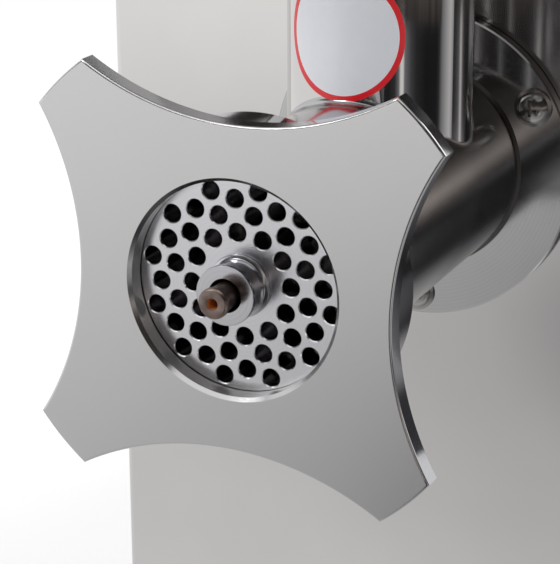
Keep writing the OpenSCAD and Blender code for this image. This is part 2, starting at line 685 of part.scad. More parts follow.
// Bolts that close the gearbox
bolt_head_h = 4;
bolt_head_r = 3.5;
bolt_bite = 10;
module gearbox_bolts() color("gray") {
  bolt_rods(cover_y + cover_t + fit, cover_y + cover_t + bolt_head_h, bolt_head_r);
  bolt_rods(cover_y - bolt_bite, cover_y + cover_t + 1, bolt_r);
}

// Lip seal in front of the main bearing
module oil_seal() color("black") ring(spigot_y + 0.5, spigot_y + seal_t, seal_r - fit, output_d / 2 + run);

// Ball bearing: two races and a circle of balls between them
module bearing(y0, t, ro, ri, c) color("lightgray") {
  mid = (ro + ri) / 2;
  ball = (ro - ri) * 0.26;
  n = floor(2 * PI * mid / (ball * 2.5));
  centre = [c[0], y0 + t / 2, c[1]];
  difference() {
    union() {
      ring(y0, y0 + t, ro, mid + ball * 0.62, c);
      ring(y0, y0 + t, mid - ball * 0.62, ri, c);
    }
    translate(centre) rotate([90, 0, 0]) rotate_extrude() translate([mid, 0]) circle(ball + fit);
  }
  translate(centre) around(n) translate([mid, 0, 0]) sphere(ball);
}
// The bearings stand a little clear of the walls in front of them and behind them
play = 0.05;
module output_front_bearing()
  bearing(front_bearing_y + play, front_bearing_t - 2 * play, front_race_r, output_d / 2 + run, [0, 0]);
rear_journal_r = 10;
module output_rear_bearing()
  bearing(rear_bearing_y + play, rear_bearing_t - 2 * play, rear_race_r, rear_journal_r + run, [0, 0]);
module intermediate_bearings() for (y = [inter_front_y, inter_rear_y])
  bearing(y + play, inter_bearing_t - 2 * play, small_race_r, inter_shaft_r + run, inter_c);

// Output shaft with the square socket that drives the auger
module output_shaft() color("gray") difference() {
  r = output_d / 2;
  y1 = rear_bearing_y + rear_bearing_t - play;
  lathe([[0, shaft_y], [r, shaft_y], [r, final_y + final_t], [r - 2, final_y + final_t],
    [r - 2, rear_bearing_y - 0.5], [rear_journal_r, rear_bearing_y - 0.5], [rear_journal_r, y1], [0, y1]]);
  bar(shaft_y - 1, tail_y + tail_l + 1) square(tail_w + 2 * fit, center = true);
}

// Large gear on the output shaft, with lightening holes
module output_gear() color("gray") difference() {
  bar(final_y, final_y + final_t) gear_outline(final_m, output_z, toward([0, 0], inter_c));
  rod(final_y - 1, final_y + final_t + 1, output_d / 2 + fit);
  for (a = [0:60:300]) rod(final_y - 1, final_y + final_t + 1, 6, polar(27, a));
}

// Intermediate shaft, with the pinion that turns the output gear and the gear that the motor turns
module intermediate_shaft() color("gray")
  rod(inter_front_y + part_gap, inter_rear_y + inter_bearing_t - part_gap, inter_shaft_r, inter_c);
module intermediate_pinion() color("gray") translate([inter_c[0], 0, inter_c[1]]) difference() {
  bar(final_y - 1, final_y + final_t + 1)
    gear_outline(final_m, inter_pinion_z, toward(inter_c, [0, 0]) + 180 / inter_pinion_z);
  rod(final_y - 2, final_y + final_t + 2, inter_shaft_r + fit);
}
module intermediate_gear() color("gray") translate([inter_c[0], 0, inter_c[1]]) difference() {
  bar(first_y, first_y + first_t) gear_outline(first_m, inter_gear_z, toward(inter_c, motor_c));
  rod(first_y - 1, first_y + first_t + 1, inter_shaft_r + fit);
}

// ---- Motor ----

stator_r = stator_d / 2;
rotor_r = 35;
air_gap = 0.6;
journal_r = 8.5;
rotor_seat_r = 10.5;
motor_race_r = 20;
motor_race_t = 12;
shell_t = 5;
front_race_y = bell_y + 6;
rear_race_y = rear_bell_y1 - shell_t - motor_race_t;
vent_r = 8;
vent_at = 44;        // the vents' distance from the motor's axis
// Pinion on the motor's shaft
module motor_pinion() color("gray") translate([motor_c[0], 0, motor_c[1]]) difference() {
  bar(first_y - 1, first_y + first_t + 1)
    gear_outline(first_m, motor_pinion_z, toward(motor_c, inter_c) + 180 / motor_pinion_z);
  rod(first_y - 2, first_y + first_t + 2, motor_shaft_r + fit);
}

// Motor shaft, which carries the pinion at its front end and the fan at its back end
module motor_shaft() color("gray") lathe([
  [0, first_y - 2], [motor_shaft_r, first_y - 2], [motor_shaft_r, bell_y + 2], [journal_r, bell_y + 4],
  [journal_r, front_race_y + motor_race_t], [rotor_seat_r, front_race_y + motor_race_t + 1],
  [rotor_seat_r, rear_race_y - 1], [journal_r, rear_race_y], [journal_r, rear_race_y + motor_race_t - 1],
  [motor_shaft_r, rear_race_y + motor_race_t], [motor_shaft_r, fan_y + fan_t], [0, fan_y + fan_t]], motor_c);

// Squirrel-cage rotor
module motor_rotor() color("darkgray") ring(stator_y, stator_y1, rotor_r, rotor_seat_r + fit, motor_c);

// Laminated stator with a fluted outside
module motor_stator() color("slategray") difference() {
  ring(stator_y + fit, stator_y1 - fit, stator_r, rotor_r + air_gap, motor_c);
  for (a = [7.5:15:352.5]) rod(stator_y - 1, stator_y1 + 1, 1.6, motor_c + polar(stator_r, a));
}

// Copper end turns at both ends of the stator
coil_l = 12;
module motor_windings() color("chocolate") for (y = [stator_y - coil_l, stator_y1])
  lathe([[rotor_r + 3, y + fit], [stator_r - 12, y + fit], [stator_r - 9, y + 3],
    [stator_r - 9, y + coil_l - fit], [rotor_r + 3, y + coil_l - fit]], motor_c);

// Front end bell with its bearing seat
module motor_front_bell() color("darkgray") difference() {
  union() {
    difference() {
      rod(bell_y, stator_y, stator_r, motor_c);
      rod(bell_y + shell_t, stator_y + 1, stator_r - shell_t, motor_c);
    }
    rod(bell_y + shell_t - 1, front_race_y + motor_race_t, motor_race_r + 4, motor_c);
  }
  rod(front_race_y, front_race_y + motor_race_t + 1, motor_race_r + fit, motor_c);
  rod(bell_y - 1, front_race_y + 1, rotor_seat_r, motor_c);
  bolt_rods(bell_y - 1, bell_y + 4.2, 5);
}
// Rear end bell with its bearing seat and cooling holes
module motor_rear_bell() color("darkgray") difference() {
  union() {
    difference() {
      rod(stator_y1, rear_bell_y1, stator_r, motor_c);
      rod(stator_y1 - 1, rear_bell_y1 - shell_t, stator_r - shell_t, motor_c);
    }
    rod(rear_race_y, rear_bell_y1 - shell_t + 1, motor_race_r + 4, motor_c);
  }
  rod(rear_race_y - 1, rear_bell_y1 - shell_t, motor_race_r + fit, motor_c);
  rod(rear_race_y, rear_bell_y1 + 1, motor_shaft_r + 1.5, motor_c);
  for (a = [0:45:315])
    rod(rear_bell_y1 - shell_t - 1, rear_bell_y1 + 1, vent_r, motor_c + polar(vent_at, a));
}
// The rotor's two bearings
module motor_bearings() for (y = [front_race_y, rear_race_y])
  bearing(y + play, motor_race_t - 2 * play, motor_race_r, journal_r + run, motor_c);

// Fan on the motor shaft's back end
fan_r = 52;
fan_hub_r = 14;
blade_t = 2;
module cooling_fan() color("black") difference() {
  union() {
    rod(fan_y, fan_y + fan_t, fan_hub_r, motor_c);
    rod(fan_y, fan_y + blade_t, fan_r, motor_c);
    translate([motor_c[0], 0, motor_c[1]]) around(9)
      translate([fan_hub_r - 1, fan_y + blade_t / 2, -blade_t / 2])
        cube([fan_r - fan_hub_r, fan_t - blade_t / 2, blade_t]);
  }
  rod(fan_y - 1, fan_y + fan_t + 1, motor_shaft_r + fit, motor_c);
}

// Steel cradle that carries the motor on the cabinet's floor
cradle_z = cab_z0 + base_t + fit;
cradle_w = 120;
cradle_t = 3;
saddle_w = 100;
saddle_t = 6;
saddle_in = 6;
module motor_cradle() color("dimgray") difference() {
  union() {
    translate([-cradle_w / 2, stator_y + 2, cradle_z]) cube([cradle_w, stator_l - 4, cradle_t]);
    for (y = [stator_y + saddle_in, stator_y1 - saddle_in - saddle_t])
      translate([-saddle_w / 2, y, cradle_z])
        cube([saddle_w, saddle_t, axis_h - motor_drop - base_t - stator_r * 0.75]);
  }
  rod(stator_y - 1, stator_y1 + 1, stator_r + part_gap, motor_c);
}

// Run capacitor, standing on the cabinet's floor
cap_c = [-86, stator_y + 4];
cap_r = 18;
cap_h = 84;
module capacitor() color("whitesmoke") translate([cap_c[0], cap_c[1], cradle_z]) {
  cylinder(r = cap_r, h = cap_h);
  for (s = [-1, 1]) translate([s * 7 - 0.4, -3, cap_h - 1]) cube([0.8, 6, 10]);
}
// Clip that holds the capacitor to the floor
clip_t = 1.6;
clip_w = 12;
clip_z = 20;
clip_band = 16;
module capacitor_clip() color("silver") translate([cap_c[0], cap_c[1], cradle_z]) difference() {
  union() {
    translate([0, 0, clip_z]) cylinder(r = cap_r + clip_t, h = clip_band);
    translate([-clip_w / 2, cap_r, 0]) cube([clip_w, clip_t, clip_z + clip_band]);
    translate([-clip_w / 2, cap_r, 0]) cube([clip_w, clip_band, clip_t]);
  }
  translate([0, 0, -1]) cylinder(r = cap_r + fit, h = cap_h);
}

// ---- Controls and inlet ----

ctrl_x = cabinet_w / 2;
plate_x = ctrl_x + fit;
ctrl_t = 2;
button_gap = 0.4;
// Plate round the controls
module control_plate() color("dimgray") difference() {
  translate([plate_x, control_c[0] - plate_w / 2, control_c[1] - plate_h / 2])
    cube([ctrl_t, plate_w, plate_h]);
  control_holes(ctrl_x - 1, ctrl_t + 2, button_gap);
}

// Switch bodies behind the sheet, each with a pocket for its button
block_l = 30;
block_x = ctrl_x - sheet_t - fit;
pocket = button_travel + 4;
module switch_block() color("black") difference() {
  translate([block_x - block_l, control_c[0] - plate_w / 2 + 2, control_c[1] - plate_h / 2 + 3])
    cube([block_l, plate_w - 4, plate_h - 6]);
  control_holes(block_x - pocket, pocket + 1, button_gap);
}

// A round button of diameter d that stands h out of the control plate
button_x = block_x - 3;
module push_button(c, d, h) translate([button_x, c[0], c[1]]) rotate([0, 90, 0]) {
  l = plate_x + ctrl_t + h - button_x;
  cylinder(d = d, h = l - 1);
  translate([0, 0, l - 1]) cylinder(d1 = d, d2 = d - 2, h = 1);
}
module start_button() color("green") push_button(start_c, button_d, 7);
module stop_button() color("red") push_button(stop_c, button_d, 7);
module reset_button() color("black") push_button(reset_c, reset_d, 4);

// Rocker that reverses the motor; it tips about a pin along its middle
rocker_pin = [ctrl_x + 1, rocker_c[0], rocker_c[1]];
rocker_z = rocker_h / 2 - 1.2;
module direction_rocker() color("black") translate(rocker_pin) rotate([90, 0, 0])
  translate([0, 0, -rocker_w / 2]) linear_extrude(height = rocker_w) polygon([[-4.5, -4], [-1.5, -rocker_z],
    [4.2, -rocker_z], [3, 0], [4.2, rocker_z], [-1.5, rocker_z], [-4.5, 4]]);

// Mains inlet in the back sheet, a socket with three blades
socket_w = 24;
socket_h = 16;
inlet_l = 24;        // length of the inlet behind the sheet
inlet_ear = 9;       // how far its flange reaches past it at each side
inlet_rim = 3;       // and above and below it
socket_y0 = cab_y1 - 16;
blade_cs = [[-7, -2], [0, 2], [7, -2]];
module power_inlet() color("black") difference() {
  union() {
    translate([inlet_c[0] - inlet_w / 2 - inlet_ear, cab_y1 + fit, inlet_c[1] - inlet_h / 2 - inlet_rim])
      cube([inlet_w + 2 * inlet_ear, inlet_out - fit, inlet_h + 2 * inlet_rim]);
    translate([inlet_c[0] - inlet_w / 2, cab_y1 - inlet_l, inlet_c[1] - inlet_h / 2])
      cube([inlet_w, inlet_l + 1, inlet_h]);
  }
  translate([inlet_c[0] - socket_w / 2, socket_y0, inlet_c[1] - socket_h / 2])
    cube([socket_w, 30, socket_h]);
  blades(cab_y1 - 30, socket_y0 + 1, fit);
}
// The three blades from y0 to y1, grown by g
module blades(y0, y1, g) for (p = blade_cs)
  translate([inlet_c[0] + p[0] - 1 - g, y0, inlet_c[1] + p[1] - 2 - g])
    cube([2 + 2 * g, y1 - y0, 4 + 2 * g]);
module inlet_blades() color("silver") blades(cab_y1 - 27, cab_y1 - 3, 0);

place() ring_nut();
place() grinding_plate();
place() plate_bush();
place() plate_key_pin();
place() cutter_knife();
place() auger_shaft();
place() auger_flight();
place() auger_stud();
place() thrust_washer();
place() barrel();
place() mounting_flange();
place() flange_screws();
place() flange_gasket();
place() feed_throat();
place() throat_label();
place() feed_tray();
place() tray_collar();
place() pusher_rod();
place() pusher_knob();
place() front_panel();
place() left_panel();
place() right_panel();
place() top_panel();
place() rear_panel();
place() base_plate();
place() panel_screws();
place() rubber_feet();
place() foot_screws();
place() gearbox_case();
place() gearbox_cover();
place() gearbox_bolts();
place() oil_seal();
place() output_shaft();
place() output_gear();
place() output_front_bearing();
place() output_rear_bearing();
place() intermediate_shaft();
place() intermediate_gear();
place() intermediate_pinion();
place() intermediate_bearings();
place() motor_front_bell();
place() motor_stator();
place() motor_windings();
place() motor_rear_bell();
place() motor_bearings();
place() motor_rotor();
place() motor_shaft();
place() motor_pinion();
place() cooling_fan();
place() motor_cradle();
place() capacitor();
place() capacitor_clip();
place() control_plate();
place() switch_block();
place() start_button();
place() stop_button();
place() direction_rocker();
place() reset_button();
place() power_inlet();
place() inlet_blades();
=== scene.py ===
# %% [markdown]
# # An electric meat grinder
#
# The grinder's solids come from its CAD model, and this lesson dresses them. We load
# the solids, set a camera and a plain studio, mix a finish for each material, and then
# model the pieces that need finer curves than the CAD mesh gives.
#
# Everything is in metres in the CAD model's own frame: +Z is up, and the grinding head
# faces -Y. Sizes that come from the drawing are written in millimetres.

# %% Load the solids
import json
import math

import bmesh
import bpy
from mathutils import Matrix, Vector


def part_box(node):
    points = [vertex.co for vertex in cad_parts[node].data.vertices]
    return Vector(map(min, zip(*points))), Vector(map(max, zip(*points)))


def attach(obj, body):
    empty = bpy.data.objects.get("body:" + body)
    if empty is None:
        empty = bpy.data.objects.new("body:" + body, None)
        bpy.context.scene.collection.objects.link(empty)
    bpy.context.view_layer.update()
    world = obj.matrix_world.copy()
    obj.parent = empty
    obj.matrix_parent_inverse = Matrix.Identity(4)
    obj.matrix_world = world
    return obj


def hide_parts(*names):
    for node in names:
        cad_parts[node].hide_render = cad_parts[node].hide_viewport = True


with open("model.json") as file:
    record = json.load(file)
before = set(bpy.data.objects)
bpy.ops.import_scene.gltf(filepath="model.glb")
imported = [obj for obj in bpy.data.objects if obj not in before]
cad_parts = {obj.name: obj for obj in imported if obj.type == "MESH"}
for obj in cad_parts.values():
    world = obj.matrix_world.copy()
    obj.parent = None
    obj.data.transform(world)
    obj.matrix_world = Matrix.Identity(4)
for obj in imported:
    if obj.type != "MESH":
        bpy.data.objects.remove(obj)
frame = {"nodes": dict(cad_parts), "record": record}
scene = bpy.context.scene
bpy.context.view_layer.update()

# %% [markdown]
# ## Where the grinding head is
#
# The head's pieces are turned on one axis, the auger's. Its height could be typed in, but
# then it could disagree with the solids. We take it from the plate's round bush instead,
# so a piece can be drawn round the origin in millimetres, with y = 0 on the plate's front
# face, and moved to its place at the very end.

# %% The head's own frame
MM = 0.001
bush_low, bush_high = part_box("plate_bush")
HEAD = Vector((0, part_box("grinding_plate")[0].y, (bush_low.z + bush_high.z) / 2))
print("plate face at", [round(v, 4) for v in HEAD])

# %% [markdown]
# ## The camera
#
# A long lens from the right and a little above shows the horned ring nearly face on,
# with the feed throat and the mounting flange behind its right shoulder. A long lens is
# chosen because it keeps the ring's four horns nearly the same size.

# %% Place the camera
LENS, SENSOR_WIDTH, NEAREST, FARTHEST = 134.81, 36, 0.02, 50
TURN, TILT, ROLL = (math.radians(a) for a in (23.68, 72.14, -0.32))
camera_data = bpy.data.cameras.new("camera")
camera_data.sensor_width = SENSOR_WIDTH
camera_data.sensor_fit = "HORIZONTAL"
camera_data.lens = LENS
camera_data.clip_start = NEAREST
camera_data.clip_end = FARTHEST
camera = bpy.data.objects.new("camera", camera_data)
scene.collection.objects.link(camera)
camera.matrix_world = (Matrix.Translation((0.22105, -0.66186, 0.3665))
                       @ Matrix.Rotation(TURN, 4, "Z")
                       @ Matrix.Rotation(TILT, 4, "X")
                       @ Matrix.Rotation(ROLL, 4, "Z"))
scene.camera = camera
scene.view_settings.view_transform = "Standard"
print("lens", camera_data.lens, "mm")

# %% [markdown]
# ## Node helpers
#
# Every finish is a small node tree. Nodes could be made and joined one line at a time,
# which takes pages. These helpers add a node, set its inputs by name and join it to the
# nodes before it in one call, so a tree reads from top to bottom.

# %% Add a node and join it
def add(tree, kind, inputs=(), **settings):
    made = tree.nodes.new("ShaderNode" + kind)
    for key, value in settings.items():
        setattr(made, key, value)
    for key, value in dict(inputs).items():
        if isinstance(value, bpy.types.NodeSocket):
            tree.links.new(value, made.inputs[key])
        else:
            made.inputs[key].default_value = value
    return made


def maths(tree, operation, first, second):
    return add(tree, "Math", {0: first, 1: second}, operation=operation).outputs[0]


def times(tree, first, second):
    return maths(tree, "MULTIPLY", first, second)


def blank_material(name):
    material = bpy.data.materials.new(name)
    material.use_nodes = True
    material.node_tree.nodes.clear()
    return material, material.node_tree


print("node helpers ready")

# %% [markdown]
# Patterns are placed by Object coordinates, which stay with a piece when it moves. A noise
# stretched one way is a grain, and a noise near zero is a mottle.

# %% Coordinates and patterns
def place_coords(tree, stretch=(1, 1, 1), centre=(0, 0, 0)):
    coords = add(tree, "TexCoord").outputs["Object"]
    moved = add(tree, "VectorMath", {0: coords, 1: centre}, operation="SUBTRACT").outputs[0]
    return add(tree, "Mapping", {"Vector": moved, "Scale": stretch}).outputs[0]


def along_axis(tree, axis, centre=(0, 0, 0)):
    coords = place_coords(tree, centre=centre)
    return add(tree, "SeparateXYZ", {0: coords}).outputs[axis]


def noise(tree, coords, scale, detail=3.0, roughness=0.5):
    return add(tree, "TexNoise", {"Vector": coords, "Scale": scale, "Detail": detail,
                                  "Roughness": roughness}).outputs[0]


def rings(tree, centre, per_metre, wobble):
    """Rings round the Y axis through a centre, as a lathe's tool leaves them."""
    coords = place_coords(tree, (1, 0, 1), centre)
    return add(tree, "TexWave", {"Vector": coords, "Scale": per_metre, "Distortion": wobble,
                                 "Detail": 2.0, "Detail Scale": 3.0},
               wave_type="RINGS", rings_direction="SPHERICAL").outputs["Fac"]


print("pattern helpers ready")

# %% [markdown]
# A pattern runs from 0 to 1 and mostly stays near its middle. The next helpers turn it
# into what a finish needs: a range of roughness, a blend of two colours, a smooth step,
# or a line through given levels.

# %% Levels and colours
def spread(tree, value, low, high, start=0.3, end=0.7, ease="LINEAR"):
    return add(tree, "MapRange", {"Value": value, "From Min": start, "From Max": end,
                                  "To Min": low, "To Max": high},
               interpolation_type=ease).outputs[0]


def step(tree, value, start, end, low=0.0, high=1.0):
    return spread(tree, value, low, high, start, end, "SMOOTHSTEP")


def mix_colours(tree, amount, first, second):
    mixed = add(tree, "Mix", data_type="RGBA")
    for socket, value in ((mixed.inputs[0], amount), (mixed.inputs[6], first),
                          (mixed.inputs[7], second)):
        if isinstance(value, bpy.types.NodeSocket):
            tree.links.new(value, socket)
        else:
            socket.default_value = value if isinstance(value, (int, float)) else (*value, 1)
    return mixed.outputs[2]


def curve(tree, value, low, high, stops):
    """Steps through (value, level) pairs, joined by straight lines."""
    made = add(tree, "ValToRGB", {0: spread(tree, value, 0.0, 1.0, low, high)})
    ramp = made.color_ramp
    while len(ramp.elements) < len(stops):
        ramp.elements.new(0.5)
    for element, (at, level) in zip(ramp.elements, stops):
        element.position = (at - low) / (high - low)
    for element, (at, level) in zip(ramp.elements, stops):
        element.color = (level, level, level, 1)
    return made.outputs["Color"]


print("level helpers ready")

# %% [markdown]
# ## The studio
#
# Polished steel shows the room more than itself, so the room is designed first. An image
# of a real studio would light the steel well, but it can't be tuned band by band. The
# world here is a soft even light instead, and rays from the camera or from a mirror see
# it as white.

# %% White for the camera and for mirrors
ROOM_LIGHT, ROOM_TINT, WHITE = 0.62, (0.97, 0.98, 1, 1), (1, 1, 1, 1)


def seen_directly(tree):
    path = add(tree, "LightPath").outputs
    sight = maths(tree, "MAXIMUM", path["Is Camera Ray"], path["Is Glossy Ray"])
    return maths(tree, "MAXIMUM", sight, path["Is Transmission Ray"])


world = bpy.data.worlds.new("studio")
world.use_nodes = True
tree = world.node_tree
tree.nodes.clear()
room = add(tree, "Background", {"Color": ROOM_TINT, "Strength": ROOM_LIGHT})
white = add(tree, "Background", {"Color": WHITE, "Strength": 1.0})
either = add(tree, "MixShader", {0: seen_directly(tree), 1: room.outputs[0],
                                 2: white.outputs[0]})
add(tree, "OutputWorld", {"Surface": either.outputs[0]})
scene.world = world
print("room light", ROOM_LIGHT)

# %% [markdown]
# Paper that sweeps up behind the object is the usual studio floor. A flat floor does the
# same here and suits views from every side: it is pale and keeps the shadow near the
# object, and farther out it glows as white as the world, so no horizon shows.

# %% The floor that the camera sees
MATT_GREY, NEAR_GREY, NEAR_GLOW, WHITE_FROM, WHITE_BY = 0.8, 0.52, 0.53, 0.6, 2.2


def grey(level):
    return (level, level, level, 1)


floor_paint, tree = blank_material("studio_floor")
spot = add(tree, "TexCoord").outputs["Object"]
matt = add(tree, "BsdfDiffuse", {"Color": grey(MATT_GREY)})
glow = add(tree, "Emission", {"Color": WHITE, "Strength": NEAR_GLOW})
half = add(tree, "BsdfDiffuse", {"Color": grey(NEAR_GREY)})
near_pale = add(tree, "AddShader", {0: glow.outputs[0], 1: half.outputs[0]})
far_pale = add(tree, "Emission", {"Color": WHITE, "Strength": 1.0})
span = add(tree, "VectorMath", {0: spot}, operation="LENGTH").outputs["Value"]
pale = add(tree, "MixShader", {0: step(tree, span, WHITE_FROM, WHITE_BY),
                               1: near_pale.outputs[0], 2: far_pale.outputs[0]})
print("floor is white from", WHITE_BY, "m")

# %% [markdown]
# The floor that a mirror sees is a picture of its own: bright far away on the left, dark
# in front and to the right, with a brighter streak here and there. The steel's bands of
# light and dark are these. Cards laid on a real floor would give them too, but a picture
# by distance and bearing needs no more objects and can be tuned band by band.

# %% The floor that a mirror sees
CORNER, EYE = (0.25, -0.55, 0), (0.03, -0.1, 0)
FRONT_LEVELS = [(0, 0.02), (0.2, 0.03), (0.26, 0.16), (0.32, 0.36), (0.37, 0.5), (0.45, 0.58),
                (0.52, 0.68), (0.6, 0.72), (0.7, 0.78), (0.85, 0.87), (1.05, 0.95), (1.25, 0.98)]
RIGHT_LEVELS = [(-90, 0.03), (-60, 0.02), (-52, 0.04), (-47, 0.2), (-45, 0.8), (-42, 0.8),
                (-40, 0.2), (-32, 0.07), (-25, 0.03), (-12, 0.014), (4, 0.016), (8, 0.04),
                (13, 0.24), (20, 0.42), (26, 0.58), (31, 0.34), (36, 0.1), (45, 0.06), (60, 0.05)]
away = add(tree, "VectorMath", {0: spot, 1: CORNER}, operation="DISTANCE").outputs["Value"]
in_front = curve(tree, away, 0, 1.25, FRONT_LEVELS)
from_eye = add(tree, "VectorMath", {0: spot, 1: EYE}, operation="SUBTRACT").outputs[0]
east_north = add(tree, "SeparateXYZ", {0: from_eye}).outputs
bearing = times(tree, maths(tree, "ARCTAN2", east_north["Y"], east_north["X"]), 180 / math.pi)
far = add(tree, "VectorMath", {0: from_eye}, operation="LENGTH").outputs["Value"]
far_streak = times(tree, step(tree, far, 0.95, 1.15), step(tree, bearing, -72, -64, 0.32, 0.0))
near_patch = times(tree, step(tree, far, 0.9, 0.65), step(tree, bearing, -66, -48, 0.0, 0.3))
glints = maths(tree, "ADD", far_streak, near_patch)
on_right = maths(tree, "ADD", curve(tree, bearing, -90, 60, RIGHT_LEVELS), glints)
level = add(tree, "Mix", {0: step(tree, east_north["X"], 0.03, 0.13), 2: in_front,
                          3: on_right}).outputs[0]
hue = mix_colours(tree, step(tree, level, 0.05, 0.5), (0.95, 0.94, 1), (1, 0.99, 0.985))
sheen = add(tree, "Emission", {"Color": hue, "Strength": level})
rays = add(tree, "LightPath").outputs
mirrored = add(tree, "MixShader", {0: rays["Is Glossy Ray"], 1: pale.outputs[0],
                                   2: sheen.outputs[0]})
either = add(tree, "MixShader", {0: seen_directly(tree), 1: matt.outputs[0],
                                 2: mirrored.outputs[0]})
add(tree, "OutputMaterial", {"Surface": either.outputs[0]})
print("mirror levels:", len(FRONT_LEVELS), "in front,", len(RIGHT_LEVELS), "on the right")

# %% Lay the floor
FLOOR_REACH = 6


def object_from(name, bm, *materials):
    mesh = bpy.data.meshes.new(name)
    bm.to_mesh(mesh)
    bm.free()
    for material in materials:
        mesh.materials.append(material)
    made = bpy.data.objects.new(name, mesh)
    scene.collection.objects.link(made)
    return made


bm = bmesh.new()
bmesh.ops.create_grid(bm, x_segments=1, y_segments=1, size=FLOOR_REACH)
floor = object_from("studio_floor", bm, floor_paint)
print("floor laid")


# %% [markdown]
# ## Lamps
#
# Small lamps would give the steel hard white dots. Three large soft discs are used, so
# the light has a direction and its edges stay soft: one from the left in front, one from
# above, and a weak one from behind.

# %% Set the lamps
def soft_lamp(name, at, aim, size, power):
    data = bpy.data.lights.new(name, "AREA")
    data.shape = "DISK"
    data.size = size
    data.energy = power
    lamp = bpy.data.objects.new(name, data)
    scene.collection.objects.link(lamp)
    lamp.location = at
    lamp.rotation_euler = (Vector(aim) - Vector(at)).to_track_quat("-Z", "Y").to_euler()


soft_lamp("key_lamp", (-1.3, -1.5, 1.7), (0, 0, 0.2), 1.1, 22)
soft_lamp("top_lamp", (0.6, 0.3, 2.2), (0, 0, 0.3), 1.4, 12)
soft_lamp("rear_lamp", (1.2, 1.8, 1.6), (0, 0.1, 0.2), 1.2, 12)


# %% [markdown]
# ## Dark cloth
#
# A photographer hangs dark cloth beside a polished object, so that its curves get dark
# bands between the bright ones: here a curtain on the right and a valance high on the
# left. Black cloth would leave the bands dead, so ours has a soft light at the height of
# the bands and loose folds. Only glossy rays see it, so it shades nothing and no view
# shows it.

# %% Paint the cloth's glow
UP_LEVELS = [(0, 0.035), (0.05, 0.09), (0.13, 0.34), (0.19, 0.56), (0.3, 0.2), (0.43, 0.05),
             (0.8, 0.035), (1.6, 0.03)]
cloth_glow, tree = blank_material("dark_cloth")
folds = spread(tree, noise(tree, place_coords(tree, (1, 1, 0.01)), 9.0, 3.0, 0.6), 0.6, 1.5)
# The glow's strength is set by height and by noise: painted light in bands and folds.
level = times(tree, curve(tree, along_axis(tree, "Z"), 0, 1.6, UP_LEVELS), folds)
tone = add(tree, "Emission", {"Color": (1, 0.9, 0.84, 1), "Strength": level})
add(tree, "OutputMaterial", {"Surface": tone.outputs[0]})
print("cloth levels:", len(UP_LEVELS))


# %% Hang the cloth
def hang_cloth(name, radius, start, end, hem, top, panels=44):
    """A bent cloth about the eye, from one bearing to another in degrees."""
    bm = bmesh.new()
    a = math.radians(start)
    pole = [bm.verts.new((EYE[0] + radius * math.cos(a), EYE[1] + radius * math.sin(a), z))
            for z in (hem, top)]
    bmesh.ops.spin(bm, geom=pole + [bm.edges.new(pole)], cent=EYE, axis=(0, 0, 1),
                   steps=panels, angle=math.radians(end - start))
    cloth = object_from(name, bm, cloth_glow)
    for ray in ("camera", "diffuse", "transmission", "volume_scatter", "shadow"):
        setattr(cloth, "visible_" + ray, False)
    print(name, "from", start, "to", end, "degrees")


hang_cloth("dark_curtain", 1.3, -100, 10, 0.002, 1.6)
hang_cloth("dark_valance", 1.32, -160, -98, 0.42, 1.3)

# %% [markdown]
# ## Finishes
#
# A metal is hardly ever one flat grey. Each finish here has three layers: a slow mottle
# that shifts the colour a little, a fine grain that follows the tool or the brush, and a
# bump from that same grain. A picture of steel wrapped round each piece would repeat and
# show its seams. Noise has neither, and its direction is set by stretching it. A turned
# face gets rings about the auger's axis.

# %% Mix a finish
FINISHES = {}
BUMP_DEPTH, TOOL_RINGS, RING_WOBBLE, RING_SHARE, GRAIN_SHARE = 0.0002, 260.0, 0.8, 0.12, 0.65


def blend_values(tree, first, second, share):
    return maths(tree, "ADD", times(tree, first, 1 - share), times(tree, second, share))


def finish(slot, light, dark, rough, metal=1.0, stretch=(1, 1, 1), grain=900.0, bump=0.05,
           mottle=14.0, turned_about=None, painted_shade=None, spun=False, **shell):
    """Mix one finish and keep it under its slot's name.

    rough is the range of roughness, stretch the direction of the grain, and grain and
    mottle are in bumps per metre. turned_about adds rings round that point, spun turns
    the highlight with them, and the last argument, (axis, from, to, tint), paints shade:
    past a point along that axis it blends the colour towards tint.
    """
    material, tree = blank_material(slot)
    slow = noise(tree, place_coords(tree), mottle, 4.0, 0.55)
    fine = noise(tree, place_coords(tree, stretch), grain, 3.0, 0.6)
    if turned_about is not None:
        marks = rings(tree, turned_about, TOOL_RINGS, RING_WOBBLE)
        slow = blend_values(tree, slow, marks, RING_SHARE)
    colour = mix_colours(tree, spread(tree, slow, 0.0, 1.0), light, dark)
    # Painted shade: the colour is blended towards a dark tint past a point along one axis.
    if painted_shade is not None:
        axis, low, high, tint = painted_shade
        shade_amount = spread(tree, along_axis(tree, axis, HEAD), 0.0, 1.0, low * MM, high * MM)
        colour = mix_colours(tree, shade_amount, colour, tint)
    wear = blend_values(tree, slow, fine, GRAIN_SHARE)
    relief = add(tree, "Bump", {"Height": fine, "Strength": bump, "Distance": BUMP_DEPTH})
    skin = add(tree, "BsdfPrincipled", {"Base Color": colour, "Metallic": metal,
                                        "Roughness": spread(tree, wear, *rough),
                                        "Normal": relief.outputs[0], **shell})
    if spun:
        outward = add(tree, "VectorMath", {0: place_coords(tree, (1, 0, 1), HEAD)},
                      operation="NORMALIZE")
        tree.links.new(outward.outputs[0], skin.inputs["Tangent"])
    add(tree, "OutputMaterial", {"Surface": skin.outputs[0]})
    FINISHES[slot] = material


print("finish layers ready")

# %% [markdown]
# The head is stainless steel in several states: mirror-bright on the throat, drawn on
# the barrel, satin on the ring's face, ground on the plate, and turned on the flange and
# the bush. The anisotropy gives a turned face the fan of light that circles its axis.

